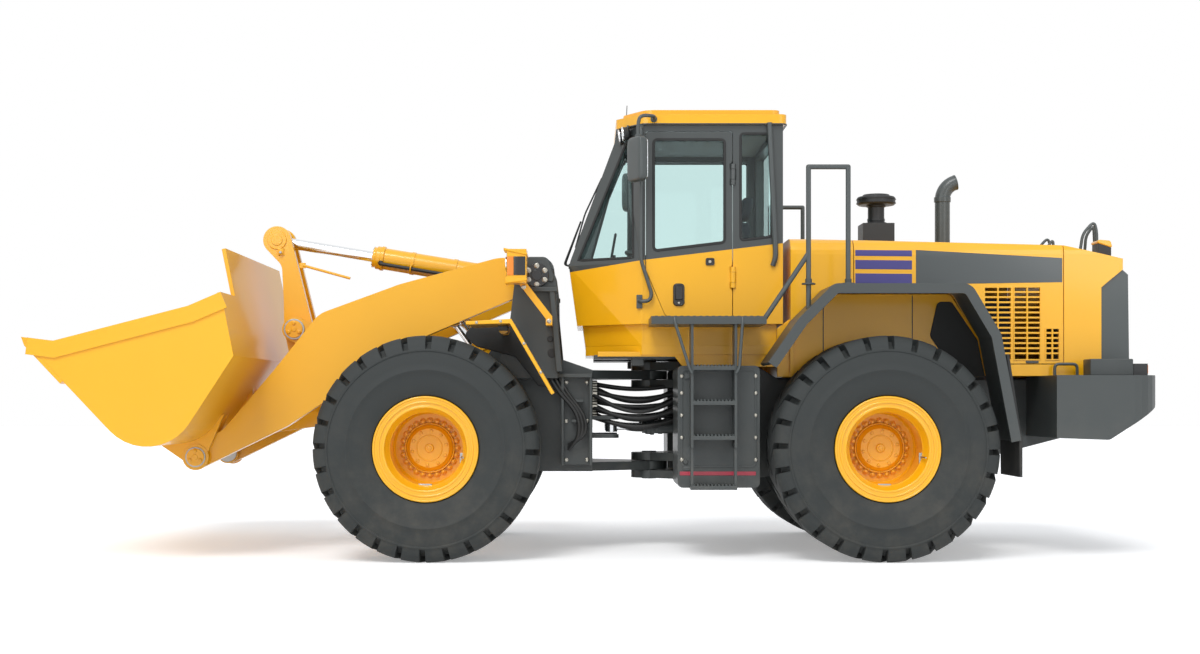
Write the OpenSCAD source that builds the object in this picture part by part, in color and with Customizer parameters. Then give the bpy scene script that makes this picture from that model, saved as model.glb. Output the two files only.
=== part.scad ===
// Articulated wheel loader, millimetres. -X is forward, -Y is the machine's left side, +Z is up.
// Places along the machine are measured from the front axle; the whole is then centred on its length.

/* [Machine] */
// Distance between the axles
wheelbase = 3450; // [3400:10:3500]
// Distance between the wheel centres of one axle
track = 2300; // [2280:10:2340]
// Rear end of the counterweight behind the rear axle
tail_reach = 2110; // [2090:10:2190]

/* [Wheels] */
// Outer diameter of the tyre at its lugs
tyre_od = 1700; // [1660:10:1720]
// Width of the tyre at its bulge
tyre_w = 675; // [640:5:690]
// Outer diameter of the rim flange
rim_d = 790; // [770:5:810]
// Diameter of the deep dish in the rim
dish_d = 556; // [530:2:570]
// Radius of the wheel spindle
spindle_r = 110; // [100:1:120]

/* [Boom] */
// Place of the boom's root pin behind the front axle
boom_root_x = 808; // [800:1:816]
// Height of the boom's root pin
boom_root_z = 2206; // [2196:1:2216]
// Place of the bucket pin in front of the front axle
bucket_pin_x = 1900; // [1890:1:1910]
// Height of the bucket pin as parked
bucket_pin_z = 765; // [755:1:775]
// Thickness of a boom arm
arm_t = 100; // [80:2:104]
// Distance from the middle to a boom arm's centre
arm_y = 570; // [566:1:574]
// Radius of the boom's root pin
root_pin_r = 70; // [60:1:76]
// Radius of the bucket pins
bucket_pin_r = 55; // [48:1:60]
// Radius of the boom's cross tube
cross_tube_r = 140; // [120:2:146]

/* [Bucket] */
// Width of the bucket
bucket_w = 3170; // [3000:10:3300]
// Roll-back of the bucket's floor as parked, in degrees
bucket_roll = 46.7; // [46:0.1:47.4]
// Reach of the cutting edge in front of the bucket pin, floor level
bucket_reach = 1404; // [1360:2:1440]
// Thickness of the bucket's shell
bucket_t = 30; // [24:1:36]
// Radius of the bucket's rounded back
bucket_r = 375; // [360:1:385]

/* [Linkage] */
// Radius of the bellcrank pin
bell_pin_r = 60; // [52:1:66]
// Radius of the link pin
link_pin_r = 50; // [44:1:56]
// Thickness of one bellcrank plate
bell_t = 60; // [50:1:64]
// Clear width between the bellcrank plates
bell_gap = 170; // [164:1:176]
// Radius of the tilt cylinder's barrel
tilt_barrel_r = 90; // [84:1:94]
// Radius of the tilt cylinder's rod
tilt_rod_r = 44; // [38:1:50]
// Radius of a lift cylinder's barrel
lift_barrel_r = 92; // [84:1:96]
// Radius of a lift cylinder's rod
lift_rod_r = 48; // [42:1:54]
// Radius of a steering cylinder's barrel
steer_barrel_r = 55; // [48:1:60]
// Radius of a steering cylinder's rod
steer_rod_r = 26; // [22:1:30]

/* [Cab] */
// Width of the cab
cab_w = 1600; // [1560:10:1620]
// Height of the cab's roof top above the ground
cab_top_z = 3500; // [3480:5:3560]
// Thickness of the cab's walls and doors
cab_wall = 60; // [50:1:70]
// Width of the cab's door opening
door_w = 689; // [660:1:700]

/* [Engine hood] */
// Width of the hood
hood_w = 1700; // [1660:10:1720]
// Thickness of the hood's panels
hood_t = 30; // [24:1:36]
// Distance from the hood's front to the engine doors
door_lead = 490; // [470:5:520]
// Width of the fixed spine between the engine doors
spine_w = 700; // [660:10:740]

/* [Rear end] */
// Width of the counterweight
weight_w = 2600; // [2500:10:2700]
// Top of the counterweight
weight_top_z = 1406; // [1390:2:1420]
// Radius of the drawbar pin's bore
drawbar_r = 25; // [20:0.5:30]

/* [Fits] */
// Radial clearance of a pin in its bore
pin_gap = 0.4; // [0.3:0.1:0.6]
// Clearance beside a moving eye or plate
side_gap = 10; // [6:1:12]
// Gap around a door or lid
door_gap = 6; // [5:1:9]
// Gap between a piece and the seat that is cut to its shape
seat_gap = 0.2; // [0.1:0.1:0.3]

/* [Hidden] */
$fn = 48;

yellow = [0.98, 0.72, 0.03];
dark = [0.22, 0.24, 0.24];
rubber = [0.12, 0.13, 0.13];
steel = [0.75, 0.76, 0.78];
tint = [0.45, 0.62, 0.62, 0.5];
orange = [0.95, 0.45, 0.08];

// Wheel, axle and hinge places
hinge_x = wheelbase / 2;
tail_x = wheelbase + tail_reach;
axle_z = tyre_od / 2;
wheel_y = track / 2;
bead_r = 332;
rim_r = rim_d / 2;
dish_r = dish_d / 2;
hub_face = -80;
hub_back = -230;
hub_cap_r = 178;
lug_count = 28;
lug_depth = 46;
groove_w = 50;
groove_start = 60;

// Pins of the boom and its linkage, as [x, z] in the parked pose
root_pin = [boom_root_x, boom_root_z];
bucket_pin = [-bucket_pin_x, bucket_pin_z];
bell_pivot = [-1200, 1800];
bell_top = [-1355, 2540];
bell_foot = [-840, 1085];
tilt_base = [520, 2232];
lift_base = [900, 800];
lift_eye = root_pin + 750 * [cos(205), sin(205)];
cross_tube = [-800, 1640];
link_eye_local = [30, 340];
link_end_r = 76;
link_half = 60;
link_eye = bucket_pin + turned(link_eye_local, -bucket_roll);

// Widths across the machine
arm_in = arm_y - arm_t / 2;
arm_out = arm_y + arm_t / 2;
plate_t = 50;
inner_plate_y = arm_in - side_gap - plate_t - 10;
outer_plate_y = arm_out + side_gap + 10;
ear_t = 40;
bell_in = bell_gap / 2;
bell_out = bell_in + bell_t;
bracket_in = bell_out + side_gap;
bracket_out = bracket_in + bell_t;
bracket_r = 100;
bell_hub_r = 105;
tilt_lug_in = 105;
tilt_lug_out = 155;
lift_y = 335;
lift_eye_half = 50;
lift_lug_in = 190;

// Bucket outline in its own frame, floor level, bucket pin at the origin
floor_z = -150;
tip = [-bucket_reach, floor_z];
back_mid = [-450, floor_z + bucket_r];
back_lean = 13.6;
back_len = 600;
lip_rise = 32;
lip_len = 480;
guard_len = 375;
up_dir = [-sin(back_lean), cos(back_lean)];
lip_dir = [-cos(lip_rise), sin(lip_rise)];
back_foot = back_mid + bucket_r * [cos(back_lean), sin(back_lean)];
back_top = back_foot + back_len * up_dir;
lip_end = back_top + lip_len * lip_dir;
guard_end = lip_end + guard_len * lip_dir;
up_in = [-cos(back_lean), -sin(back_lean)];
lip_in = [-sin(lip_rise), -cos(lip_rise)];
knee_in = (up_in + lip_in) / (1 + up_in * lip_in);

// Centre hinge levels
hinge_up_z = 1425;
hinge_low_z = 680;
hinge_half = 35;
hinge_gap = 5;
fork_t = 65;
hinge_pin_r = 60;
hinge_boss_r = 150;

// Cab outline
cab_half = cab_w / 2;
cab_floor_z = 1575;
cab_floor_t = 75;
sill_z = 2300;
cab_rear_x = hinge_x + 1021;
door_front_x = hinge_x - 61;
door_rear_x = door_front_x + door_w;
roof_t = 120;
head_z = cab_top_z - roof_t;
door_low_z = 1870;
door_high_z = head_z - 50;
pillar_x = door_front_x - 14;
nose_low = [boom_root_x + 342, cab_half - 360];
nose_sill = [boom_root_x + 252, cab_half - 345];
nose_head = [pillar_x - 185, cab_half - 280];
waist_rise = 0.12;
skirt_z = 1815;
skirt_in = 45;

// Hood outline
hood_front_x = cab_rear_x + 54;
hood_tail_x = tail_x - 160;
hood_end_x = tail_x - 328;
hood_door_front_x = hood_front_x + door_lead;
hood_door_rear_x = tail_x - 621;
fender_top_z = tyre_od + 390;
hood_top = [[hood_front_x, fender_top_z + 400], [hood_door_rear_x, fender_top_z + 341],
    [hood_tail_x, fender_top_z + 235]];
hood_notch_z = fender_top_z + 10;
hood_half = hood_w / 2;
spine_half = spine_w / 2;
hood_edge_r = 130;

// Rear fender outline
fender_in = hood_half;
fender_out = 1430;
fender_t = 30;
fender_lip = 75;
fender_clear = 25;
fender_front_x = wheelbase - axle_z - 40;
fender_rear_x = wheelbase + axle_z + 150;
fender_crown = rounded([[fender_front_x, tyre_od - 200, 0], [fender_front_x + 230, tyre_od + 130, 90],
    [fender_front_x + 490, fender_top_z, 90], [fender_rear_x - 375, fender_top_z, 110],
    [fender_rear_x - 150, tyre_od + 10, 110], [fender_rear_x, axle_z + 65, 0]]);
fender_under = beside(fender_crown, fender_t);

// Hinge lines of the doors
hood_slope = atan2(hood_top[0].y - hood_top[1].y, hood_top[1].x - hood_top[0].x);
hood_hinge_x = (hood_door_front_x + hood_door_rear_x) / 2;
hinge_mid = [hood_hinge_x, hood_top[0].y - (hood_hinge_x - hood_front_x) * tan(hood_slope) + 6];
knuckle_r = 18;
knuckle_pin_r = 8;
door_knuckle_r = 22;
door_knuckle_pin_r = 11;

// The overall length is the cutting edge to the counterweight; the origin lies halfway along it
tip_world_x = bucket_pin.x + turned(tip, -bucket_roll).x;
origin_x = (tip_world_x + tail_x) / 2;

// Vector turned by an angle, anticlockwise
function turned(v, a) = [v.x * cos(a) - v.y * sin(a), v.x * sin(a) + v.y * cos(a)];
function unit(v) = v / norm(v);
function bearing(from, to) = atan2(to.y - from.y, to.x - from.x);

// Arc that rounds the corner p between its neighbours q and n
function corner_arc(p, q, n, r, steps) =
    let (a = unit(q - p), b = unit(n - p), half = acos(a * b) / 2)
    let (mid = p + unit(a + b) * r / sin(half), first = p + a * r / tan(half) - mid)
    let (turn = -(180 - 2 * half) * sign(cross(a, b)))
    [for (i = [0:steps]) mid + turned(first, turn * i / steps)];

// Outline through corners [x, y, radius]
function rounded(c, steps = 6) =
    let (n = len(c), xy = [for (p = c) [p.x, p.y]])
    [for (i = [0:n - 1])
        each c[i][2] > 0
            ? corner_arc(xy[i], xy[(i + n - 1) % n], xy[(i + 1) % n], c[i][2], steps)
            : [xy[i]]];

function arc(mid, r, from, to, steps) = [for (i = [0:steps]) mid + r * [cos(from + (to - from) * i / steps),
    sin(from + (to - from) * i / steps)]];

// Open path moved to the right of its travel, and the outline of a sheet between the two
function step_dir(p, i) = unit(p[min(i + 1, len(p) - 1)] - p[min(i, len(p) - 2)]);
function right_of(d) = [d.y, -d.x];
function miter(a, b) = (a + b) / (1 + a * b);
function beside(path, t) = [for (i = [0:len(path) - 1])
    path[i] + t * miter(right_of(step_dir(path, max(i - 1, 0))), right_of(step_dir(path, i)))];
function reversed(path) = [for (i = [len(path) - 1:-1:0]) path[i]];
function band(path, t) = concat(path, reversed(beside(path, t)));

// Outline in the x-z plane carried across the machine from y0 to y1
module slab(y0, y1) { translate([0, y1, 0]) rotate([90, 0, 0]) linear_extrude(y1 - y0) children(); }

// Round bar across the machine through the point p in the x-z plane
module bar(p, r, y0, y1) { translate([p.x, y1, p.y]) rotate([90, 0, 0]) cylinder(r = r, h = y1 - y0); }

module both_sides() { children(); mirror([0, 1, 0]) children(); }
module on_left() { mirror([0, 1, 0]) children(); }

// Moves a cylinder modelled along +X from its base eye to lie between two points in the x-z plane
module along(base, to) {
    translate([base.x, 0, base.y]) rotate([0, -bearing(base, to), 0]) children();
}

// Wheels, modelled about the Y axis with the outer face towards +Y

module tyre() {
    r = axle_z;
    h = tyre_w / 2;
    wall = r - rim_r;
    bulge_r = rim_r + 0.407 * wall;
    shoulder_r = rim_r + 0.835 * wall;
    pitch = 360 / lug_count;
    color(rubber) rotate([-90, 0, 0]) difference() {
        rotate_extrude($fn = 96)
            polygon(rounded([[bead_r + seat_gap, -267, 0], [rim_r + 3, -271, 0], [rim_r + 20, -302, 14],
                [bulge_r, -h, 0.26 * wall], [shoulder_r, -h + 22, 0.13 * wall], [r, -h + 90, 0.085 * wall],
                [r, h - 90, 0.085 * wall], [shoulder_r, h - 22, 0.13 * wall], [bulge_r, h, 0.26 * wall],
                [rim_r + 20, 302, 14], [rim_r + 3, 271, 0], [bead_r + seat_gap, 267, 0]], 3));
        for (k = [0:lug_count - 1]) {
            rotate([0, 0, k * pitch]) translate([r - lug_depth, -groove_w / 2, groove_start])
                cube([2 * lug_depth, groove_w, h]);
            rotate([0, 0, (k + 0.5) * pitch]) translate([r - lug_depth, -groove_w / 2, -groove_start - h])
                cube([2 * lug_depth, groove_w, h]);
        }
    }
}

module rim() {
    color(yellow) rotate([-90, 0, 0]) difference() {
        rotate_extrude($fn = 96) polygon([[0, hub_face + 60], [hub_cap_r - 28, hub_face + 60],
            [hub_cap_r, hub_face + 32], [hub_cap_r, hub_face], [dish_r - 16, hub_face],
            [dish_r, hub_face + 16], [dish_r, 215], [dish_r + 30, 285], [rim_r, 300], [rim_r, 272],
            [bead_r, 268], [bead_r, -268], [rim_r, -272], [rim_r, -300], [318, -290], [300, -160],
            [225, -170], [225, hub_back], [0, hub_back]]);
        translate([0, 0, hub_back - 1]) cylinder(r = spindle_r + pin_gap, h = 121);
    }
}

module wheel_place(x, left) {
    translate([x, left ? -wheel_y : wheel_y, axle_z]) mirror([0, left ? 1 : 0, 0]) children();
}

// Casing arm of an axle, grown by a seat's clearance
module axle_arm(x, grow) {
    translate([x, 150, axle_z]) rotate([-90, 0, 0]) cylinder(r1 = 215 + grow, r2 = 150 + grow, h = 500);
}

module axle(x) {
    color(dark) both_sides() axle_arm(x, 0);
    color(dark) translate([x, 0, axle_z]) {
        sphere(r = 290);
        both_sides() {
            rotate([-90, 0, 0]) translate([0, 0, 640]) cylinder(r = 205, h = wheel_y + hub_back - 640 - 6);
            rotate([-90, 0, 0]) translate([0, 0, 640])
                cylinder(r = spindle_r, h = wheel_y + hub_back - 640 + 110);
        }
    }
}

// Rear frame

module hinge_plate(x_root, half_root, z0, z1) {
    translate([0, 0, z0]) linear_extrude(z1 - z0) {
        translate([hinge_x, 0]) circle(r = hinge_boss_r);
        polygon([[x_root, -half_root], [x_root, half_root], [hinge_x, hinge_boss_r], [hinge_x, -hinge_boss_r]]);
    }
}

frame_in = 400;
frame_t = 50;
frame_front_x = hinge_x + 275;
frame_rear_x = tail_x - 420;
frame_top_z = axle_z + 530;
deck_rear_x = hinge_x + 775;
saddle_z = axle_z + 250;
cab_deck_z = 1540;
steer_z = 1000;
steer_base = [hinge_x + 420, 250];
steer_eye = [hinge_x - 320, 330];
steer_lug_t = 30;
steer_lugs = [steer_z - steer_barrel_r - 5 - steer_lug_t, steer_z + steer_barrel_r + 5];
steer_pin_r = 28;

module fork(z_mid) {
    for (z = [z_mid - hinge_half - hinge_gap - fork_t, z_mid + hinge_half + hinge_gap])
        hinge_plate(frame_front_x + 20, frame_in, z, z + fork_t);
    translate([hinge_x, 0, z_mid - hinge_half - hinge_gap - fork_t - 10])
        cylinder(r = hinge_pin_r, h = 2 * (hinge_half + hinge_gap + fork_t + 10));
}

module rear_frame() {
    color(dark) {
        both_sides() slab(frame_in, frame_in + frame_t) polygon([[frame_front_x, 575],
            [frame_front_x, cab_deck_z], [deck_rear_x, cab_deck_z], [wheelbase - 690, frame_top_z],
            [frame_rear_x, frame_top_z], [frame_rear_x, 940], [wheelbase + 850, 720], [wheelbase + 500, 720],
            [wheelbase + 340, saddle_z - 20], [wheelbase - 340, saddle_z - 20], [wheelbase - 550, 640],
            [deck_rear_x, 575]]);
        difference() {
            translate([frame_front_x, -frame_in, 575]) cube([40, 2 * frame_in, cab_deck_z - 575]);
            translate([frame_front_x - 1, -190, 795]) cube([42, 380, 380]);
            translate([frame_front_x - 1, -frame_in + 5, steer_z - 70]) cube([42, 2 * frame_in - 10, 140]);
        }
        translate([frame_rear_x - 40, -frame_in, 940]) cube([40, 2 * frame_in, frame_top_z - 940]);
        translate([wheelbase - 400, -frame_in, saddle_z + 20]) cube([120, 2 * frame_in, 120]);
        translate([wheelbase + 280, -frame_in, saddle_z - 10]) cube([120, 2 * frame_in, 70]);
        fork(hinge_up_z);
        fork(hinge_low_z);
        both_sides() {
            difference() {
                translate([wheelbase - 150, 300, axle_z + 100]) cube([300, 150, saddle_z - axle_z - 100]);
                axle_arm(wheelbase, seat_gap);
            }
            for (z = steer_lugs) translate([0, 0, z]) linear_extrude(steer_lug_t) {
                translate(steer_base) circle(r = 60);
                translate([steer_base.x - 60, steer_base.y]) square([120, frame_in + 10 - steer_base.y]);
            }
            translate([steer_base.x, steer_base.y, steer_lugs[0] - 5]) cylinder(r = steer_pin_r,
                h = steer_lugs[1] - steer_lugs[0] + steer_lug_t + 10);
        }
    }
}

module power_train() {
    color(dark) {
        translate([wheelbase + 70, -frame_in, saddle_z + 85]) cube([1150, 2 * frame_in, 850]);
        translate([deck_rear_x - 250, -frame_in, 850]) cube([wheelbase - 310 - deck_rear_x, 2 * frame_in, 550]);
    }
}

weight_front_x = tail_x - 808;

module counterweight() {
    color(dark) difference() {
        intersection() {
            slab(-weight_w / 2, weight_w / 2) polygon(rounded([[weight_front_x, weight_top_z, 0],
                [tail_x, weight_top_z, 30], [tail_x, 1180, 60], [tail_x - 408, 916, 60],
                [weight_front_x, 930, 0]]));
            linear_extrude(3000) polygon(rounded([[weight_front_x - 50, -weight_w / 2, 0],
                [weight_front_x - 50, weight_w / 2, 0], [tail_x, weight_w / 2, 220],
                [tail_x, -weight_w / 2, 220]]));
        }
        translate([weight_front_x - 50, -frame_in - frame_t, 0])
            cube([frame_rear_x - weight_front_x + 50, 2 * (frame_in + frame_t), 3000]);
        translate([tail_x - 160, -90, 1240]) cube([200, 180, 90]);
        translate([tail_x - 60, 0, 1000]) cylinder(r = drawbar_r, h = 600);
        translate([tail_x - 60, 0, 800]) cylinder(r = drawbar_r + 20, h = 365);
    }
}

// Hood envelope, taken in by a wall thickness

module hood_body(inset, low_z) {
    intersection() {
        slab(-hood_half + inset, hood_half - inset) polygon([[hood_front_x, low_z],
            [hood_front_x, hood_top[0].y - inset], [hood_top[1].x, hood_top[1].y - inset],
            [hood_top[2].x, hood_top[2].y - inset],
            [hood_tail_x, hood_notch_z + 140], [hood_end_x, hood_notch_z], [hood_end_x, low_z]]);
        rotate([90, 0, 90]) linear_extrude(9000) polygon(rounded([[-hood_half + inset, 0, 0],
            [-hood_half + inset, hood_top[0].y - inset, hood_edge_r - inset],
            [hood_half - inset, hood_top[0].y - inset, hood_edge_r - inset], [hood_half - inset, 0, 0]]));
    }
}

module hood_skin() {
    difference() {
        hood_body(0, weight_top_z);
        translate([hood_t, 0, 0]) hood_body(hood_t, weight_top_z - 10);
    }
}

// Side outline of an engine door: its lower edge runs above and behind the rear fender
module hood_door_zone(gap) {
    low = fender_top_z + fender_clear + gap;
    foot = weight_top_z + 90 + gap;
    slab(spine_half + gap, hood_half + 100) polygon([[hood_door_front_x + gap, low],
        [hood_door_front_x + gap, 3000], [hood_door_rear_x - gap, 3000], [hood_door_rear_x - gap, foot],
        [fender_rear_x + 30 + gap, foot],
        [fender_rear_x - 110 + gap, tyre_od + 35], [fender_rear_x - 350 + gap, low]]);
}

// Engine door hinges: knuckles on a line along the hood's sloping top
module hood_hinges() {
    translate([hinge_mid.x, spine_half + door_gap / 2, hinge_mid.y]) rotate([0, hood_slope, 0])
        for (x = [-600, 600]) translate([x, 0, 0]) rotate([0, 90, 0]) children();
}

module engine_hood() {
    color(yellow) difference() {
        hood_skin();
        both_sides() {
            hood_door_zone(0);
            hood_hinges() cylinder(r = knuckle_r + 2, h = 64, center = true);
            slab(hood_half - hood_t - 5, hood_half + 10) polygon(concat(fender_under,
                [[fender_rear_x - fender_t, 0], [fender_front_x + fender_t, 0]]));
        }
    }
    color(yellow) both_sides() hood_hinges() {
        cylinder(r = knuckle_pin_r, h = 124, center = true);
        for (x = [-62, 32]) translate([0, 0, x]) cylinder(r = knuckle_r, h = 30);
    }
}

// Louvre panels of an engine door, as outlines in the x-z plane
louvre_pitch = 40;
louvre_bar = 14;
louvre_top_z = fender_top_z + 10;
louvre_low_z = weight_top_z + 130;

module louvre_outline() {
    first = hood_door_rear_x - 618;
    polygon([[first, louvre_top_z], [first + 202, louvre_top_z], [first + 202, louvre_low_z],
        [first + 190, louvre_low_z], [first + 70, tyre_od + 30], [first, tyre_od + 142]]);
    translate([first + 229, louvre_low_z]) square([201, louvre_top_z - louvre_low_z]);
    translate([first + 477, louvre_low_z]) square([101, 240]);
}

module louvre_holes() {
    slab(hood_half - 2 * hood_t, hood_half + 10) difference() {
        louvre_outline();
        for (z = [louvre_low_z + louvre_pitch:louvre_pitch:louvre_top_z]) translate([hood_front_x, z])
            square([hood_tail_x - hood_front_x, louvre_bar]);
    }
}

module engine_door() {
    color(yellow) difference() {
        union() {
            difference() {
                intersection() {
                    hood_skin();
                    hood_door_zone(door_gap);
                }
                louvre_holes();
            }
            hood_hinges() cylinder(r = knuckle_r, h = 60, center = true);
        }
        hood_hinges() {
            cylinder(r = knuckle_pin_r + pin_gap, h = 100, center = true);
            for (x = [-64, 30]) translate([0, 0, x]) cylinder(r = knuckle_r + 2, h = 34);
        }
    }
}

slot_count = 9;
slot_depth = 40;
slot_h = 36;

module rear_grille() {
    top = [hood_tail_x + 45, hood_notch_z + 100];
    foot = [tail_x - 105, weight_top_z];
    color(dark) difference() {
        slab(-hood_half + hood_t / 2, hood_half - hood_t / 2) polygon([[hood_end_x, weight_top_z],
            [hood_end_x, hood_notch_z], [hood_tail_x, hood_notch_z + 140], top, foot]);
        for (i = [1:slot_count]) both_sides() slab(40, hood_half - 130)
            translate(top + (foot - top) * i / (slot_count + 1))
                square([2 * slot_depth, slot_h], center = true);
    }
}

module rear_fenders() {
    color(dark) both_sides() {
        slab(fender_in, fender_out) polygon(band(fender_crown, fender_t));
        slab(fender_out - 25, fender_out) polygon(band(fender_crown, fender_lip));
    }
}

tank_out = 1120;
tank_front_x = hinge_x + 175;
tank_rear_x = wheelbase - axle_z - 70;

module side_tanks() {
    color(dark) both_sides() slab(frame_in + frame_t, tank_out)
        polygon(rounded([[tank_front_x, 545, 40], [tank_front_x, 1480, 40], [tank_rear_x, 1480, 40],
            [tank_rear_x, 545, 40]]));
}

platform_z = 1790;
platform_t = 60;
platform_out = 1320;
tread_z = [538, 916, 1180, 1444];
ladder_x = (tank_front_x + tank_rear_x) / 2 - 225;
ladder_w = 350;

module platform() {
    translate([hinge_x - 35, cab_half, platform_z])
        cube([fender_front_x - hinge_x + 35, platform_out - cab_half, platform_t]);
}

module ladders() {
    color(dark) both_sides() {
        platform();
        for (x = [ladder_x, ladder_x + ladder_w - 20]) translate([x, tank_out, tread_z[1] - 60])
            cube([20, 180, platform_z - tread_z[1] + 60]);
        for (x = [ladder_x, ladder_x + ladder_w - 20]) translate([x, tank_out + 100, tread_z[0]])
            cube([20, 60, tread_z[1] - tread_z[0]]);
        for (z = tread_z) translate([ladder_x, tank_out + 20, z]) cube([ladder_w, 160, 30]);
    }
}

rail_r = 19;
rail_y = 1280;
rail_x = [fender_front_x + 320, fender_front_x + 620];
rail_top_z = fender_top_z + 890;
ramp = [[fender_front_x - 20, platform_z + 30], [rail_x[0], fender_top_z + 236]];

module rail_post(x, y, z0, z1) { translate([x, y, z0]) cylinder(r = rail_r, h = z1 - z0); }

module handrails() {
    color(dark) both_sides() {
        difference() {
            union() for (x = rail_x) rail_post(x, rail_y, tyre_od, rail_top_z);
            slab(1200, 1350) polygon(concat(fender_crown, [[fender_rear_x, 0], [fender_front_x, 0]]));
        }
        translate([rail_x[0], rail_y, rail_top_z]) rotate([0, 90, 0])
            cylinder(r = rail_r, h = rail_x[1] - rail_x[0]);
        for (x = rail_x) translate([x, rail_y, rail_top_z]) sphere(r = rail_r);
        difference() {
            translate([ramp[0].x, rail_y, ramp[0].y]) rotate([0, 90 - bearing(ramp[0], ramp[1]), 0])
                cylinder(r = rail_r, h = norm(ramp[1] - ramp[0]));
            platform();
        }
    }
}

// Cab: plan outline, walls lofted between the floor, the sill and the roof

function cab_plan(nose, inset) = [
    [nose.x + inset, -nose.y + inset * 0.8], [nose.x + inset, nose.y - inset * 0.8],
    [pillar_x - 20 + inset * 0.2, cab_half - inset], [cab_rear_x - inset, cab_half - inset],
    [cab_rear_x - inset, -cab_half + inset], [pillar_x - 20 + inset * 0.2, -cab_half + inset]];

// Cab envelope through its plan at the floor, the sill and the roof, grown at both ends
module cab_body(inset, grow) {
    rings = [[nose_low, cab_floor_z + cab_floor_t - grow], [nose_sill, sill_z], [nose_head, head_z + grow]];
    n = len(cab_plan(nose_low, 0));
    // The right front corner folds along the other diagonal, so that both corners are alike
    sides = [for (k = [0, 1], i = [0:n - 1]) let (a = k * n + i, b = k * n + (i + 1) % n)
        each i == 1 ? [[a, b, a + n], [b, b + n, a + n]] : [[a, b, b + n], [a, b + n, a + n]]];
    polyhedron([for (r = rings) each [for (q = cab_plan(r[0], inset)) [q.x, q.y, r[1]]]],
        concat([[for (i = [n - 1:-1:0]) i]], sides, [[for (i = [0:n - 1]) 2 * n + i]]));
}

module cab_skin(outer, inner) {
    difference() {
        cab_body(outer, 0);
        cab_body(inner, 1);
    }
}

// Height of the line under the side panes, which rises to the rear
function waist_z(x) = sill_z + 10 + waist_rise * (x - nose_sill.x);

module side_pane(x0, x1, z1) { polygon([[x0, waist_z(x0)], [x1, waist_z(x1)], [x1, z1], [x0, z1]]); }

// Lower walls stand back under the side panels
module skirt_cut() {
    intersection() {
        difference() {
            cab_body(-5, 5);
            cab_body(skirt_in, 10);
        }
        translate([0, -2000, 0]) cube([5000, 4000, skirt_z]);
    }
}

// Holes for the panes, cut through the walls
module window_holes() {
    z0 = sill_z + 40;
    z1 = head_z - 70;
    front_half = nose_low.y - 40;
    rear_half = side_wall_y - 120;
    translate([nose_sill.x - 160, -front_half, z0])
        cube([nose_head.x - nose_sill.x + 215, 2 * front_half, z1 - z0]);
    both_sides() slab(front_half + 70, cab_half + 100) polygon([[nose_sill.x + 75, z0], [pillar_x - 80, z0],
        [pillar_x - 80, z1], [nose_head.x + 70, z1]]);
    slab(side_wall_y - 140, cab_half + 200) side_pane(pillar_x + 60, cab_rear_x - 120, z1);
    slab(-cab_half - 200, -side_wall_y + 140) side_pane(door_rear_x + 60, cab_rear_x - 90, z1);
    translate([cab_rear_x - 300, -rear_half, 2560]) cube([500, 2 * rear_half, z1 - 2560]);
}

side_wall_y = cab_half - cab_wall;

module cab_floor() {
    color(dark) {
        translate([0, 0, cab_floor_z]) linear_extrude(cab_floor_t) polygon(cab_plan(nose_low, skirt_in));
        for (x = [frame_front_x + 80, frame_front_x + 420], y = [-425, 425]) translate([x, y, cab_deck_z])
            cylinder(r = 24, h = cab_floor_z - cab_deck_z);
    }
}

module cab_front() {
    color(dark) difference() {
        cab_skin(0, cab_wall);
        translate([pillar_x, -2000, 0]) cube([4000, 4000, 5000]);
        window_holes();
        skirt_cut();
    }
}

module cab_side_zone() {
    translate([pillar_x, side_wall_y, 0]) cube([cab_rear_x - pillar_x + 1, 500, 5000]);
}

module cab_right_side() {
    color(dark) difference() {
        intersection() {
            cab_skin(0, cab_wall);
            cab_side_zone();
        }
        window_holes();
        skirt_cut();
    }
}

// Door outline with its slanted lower front corner
module door_outline(gap) {
    polygon(rounded([[door_front_x + gap, sill_z - 60, 0], [door_front_x + gap, door_high_z - gap, 20],
        [door_rear_x - gap, door_high_z - gap, 20], [door_rear_x - gap, door_low_z + gap, 0],
        [door_front_x + 160, door_low_z + gap, 40]]));
}

// Cab door hinges on its rear edge
module door_hinges() { for (z = [2180, 2990]) translate([door_rear_x, -cab_half, z]) children(); }

module cab_left_side() {
    color(dark) difference() {
        intersection() {
            cab_skin(0, cab_wall);
            on_left() cab_side_zone();
        }
        slab(-cab_half - 100, -side_wall_y + 50) door_outline(0);
        window_holes();
        skirt_cut();
        door_hinges() cylinder(r = door_knuckle_r + 3, h = 84, center = true);
    }
    color(dark) door_hinges() {
        cylinder(r = door_knuckle_pin_r, h = 160, center = true);
        for (z = [-82, 42]) translate([0, 0, z]) cylinder(r = door_knuckle_r, h = 40);
    }
}

module cab_rear_wall() {
    color(dark) difference() {
        intersection() {
            cab_skin(0, cab_wall);
            translate([cab_rear_x - cab_wall, -side_wall_y, 0]) cube([cab_wall + 1, 2 * side_wall_y, 5000]);
        }
        window_holes();
        skirt_cut();
    }
}

module cab_roof() {
    color(yellow) {
        translate([0, 0, head_z]) linear_extrude(roof_t - 40) polygon(rounded([
            [nose_head.x - 25, -nose_head.y - 40, 60], [nose_head.x - 25, nose_head.y + 40, 60],
            [pillar_x - 10, cab_half + 25, 120], [cab_rear_x + 30, cab_half + 25, 60],
            [cab_rear_x + 30, -cab_half - 25, 60], [pillar_x - 10, -cab_half - 25, 120]]));
        translate([0, 0, head_z + roof_t - 40]) linear_extrude(40) polygon(rounded([
            [nose_head.x + 35, -nose_head.y, 60], [nose_head.x + 35, nose_head.y, 60],
            [pillar_x + 20, cab_half - 20, 120], [cab_rear_x - 20, cab_half - 20, 60],
            [cab_rear_x - 20, -cab_half + 20, 60], [pillar_x + 20, -cab_half + 20, 120]]));
    }
}

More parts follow.
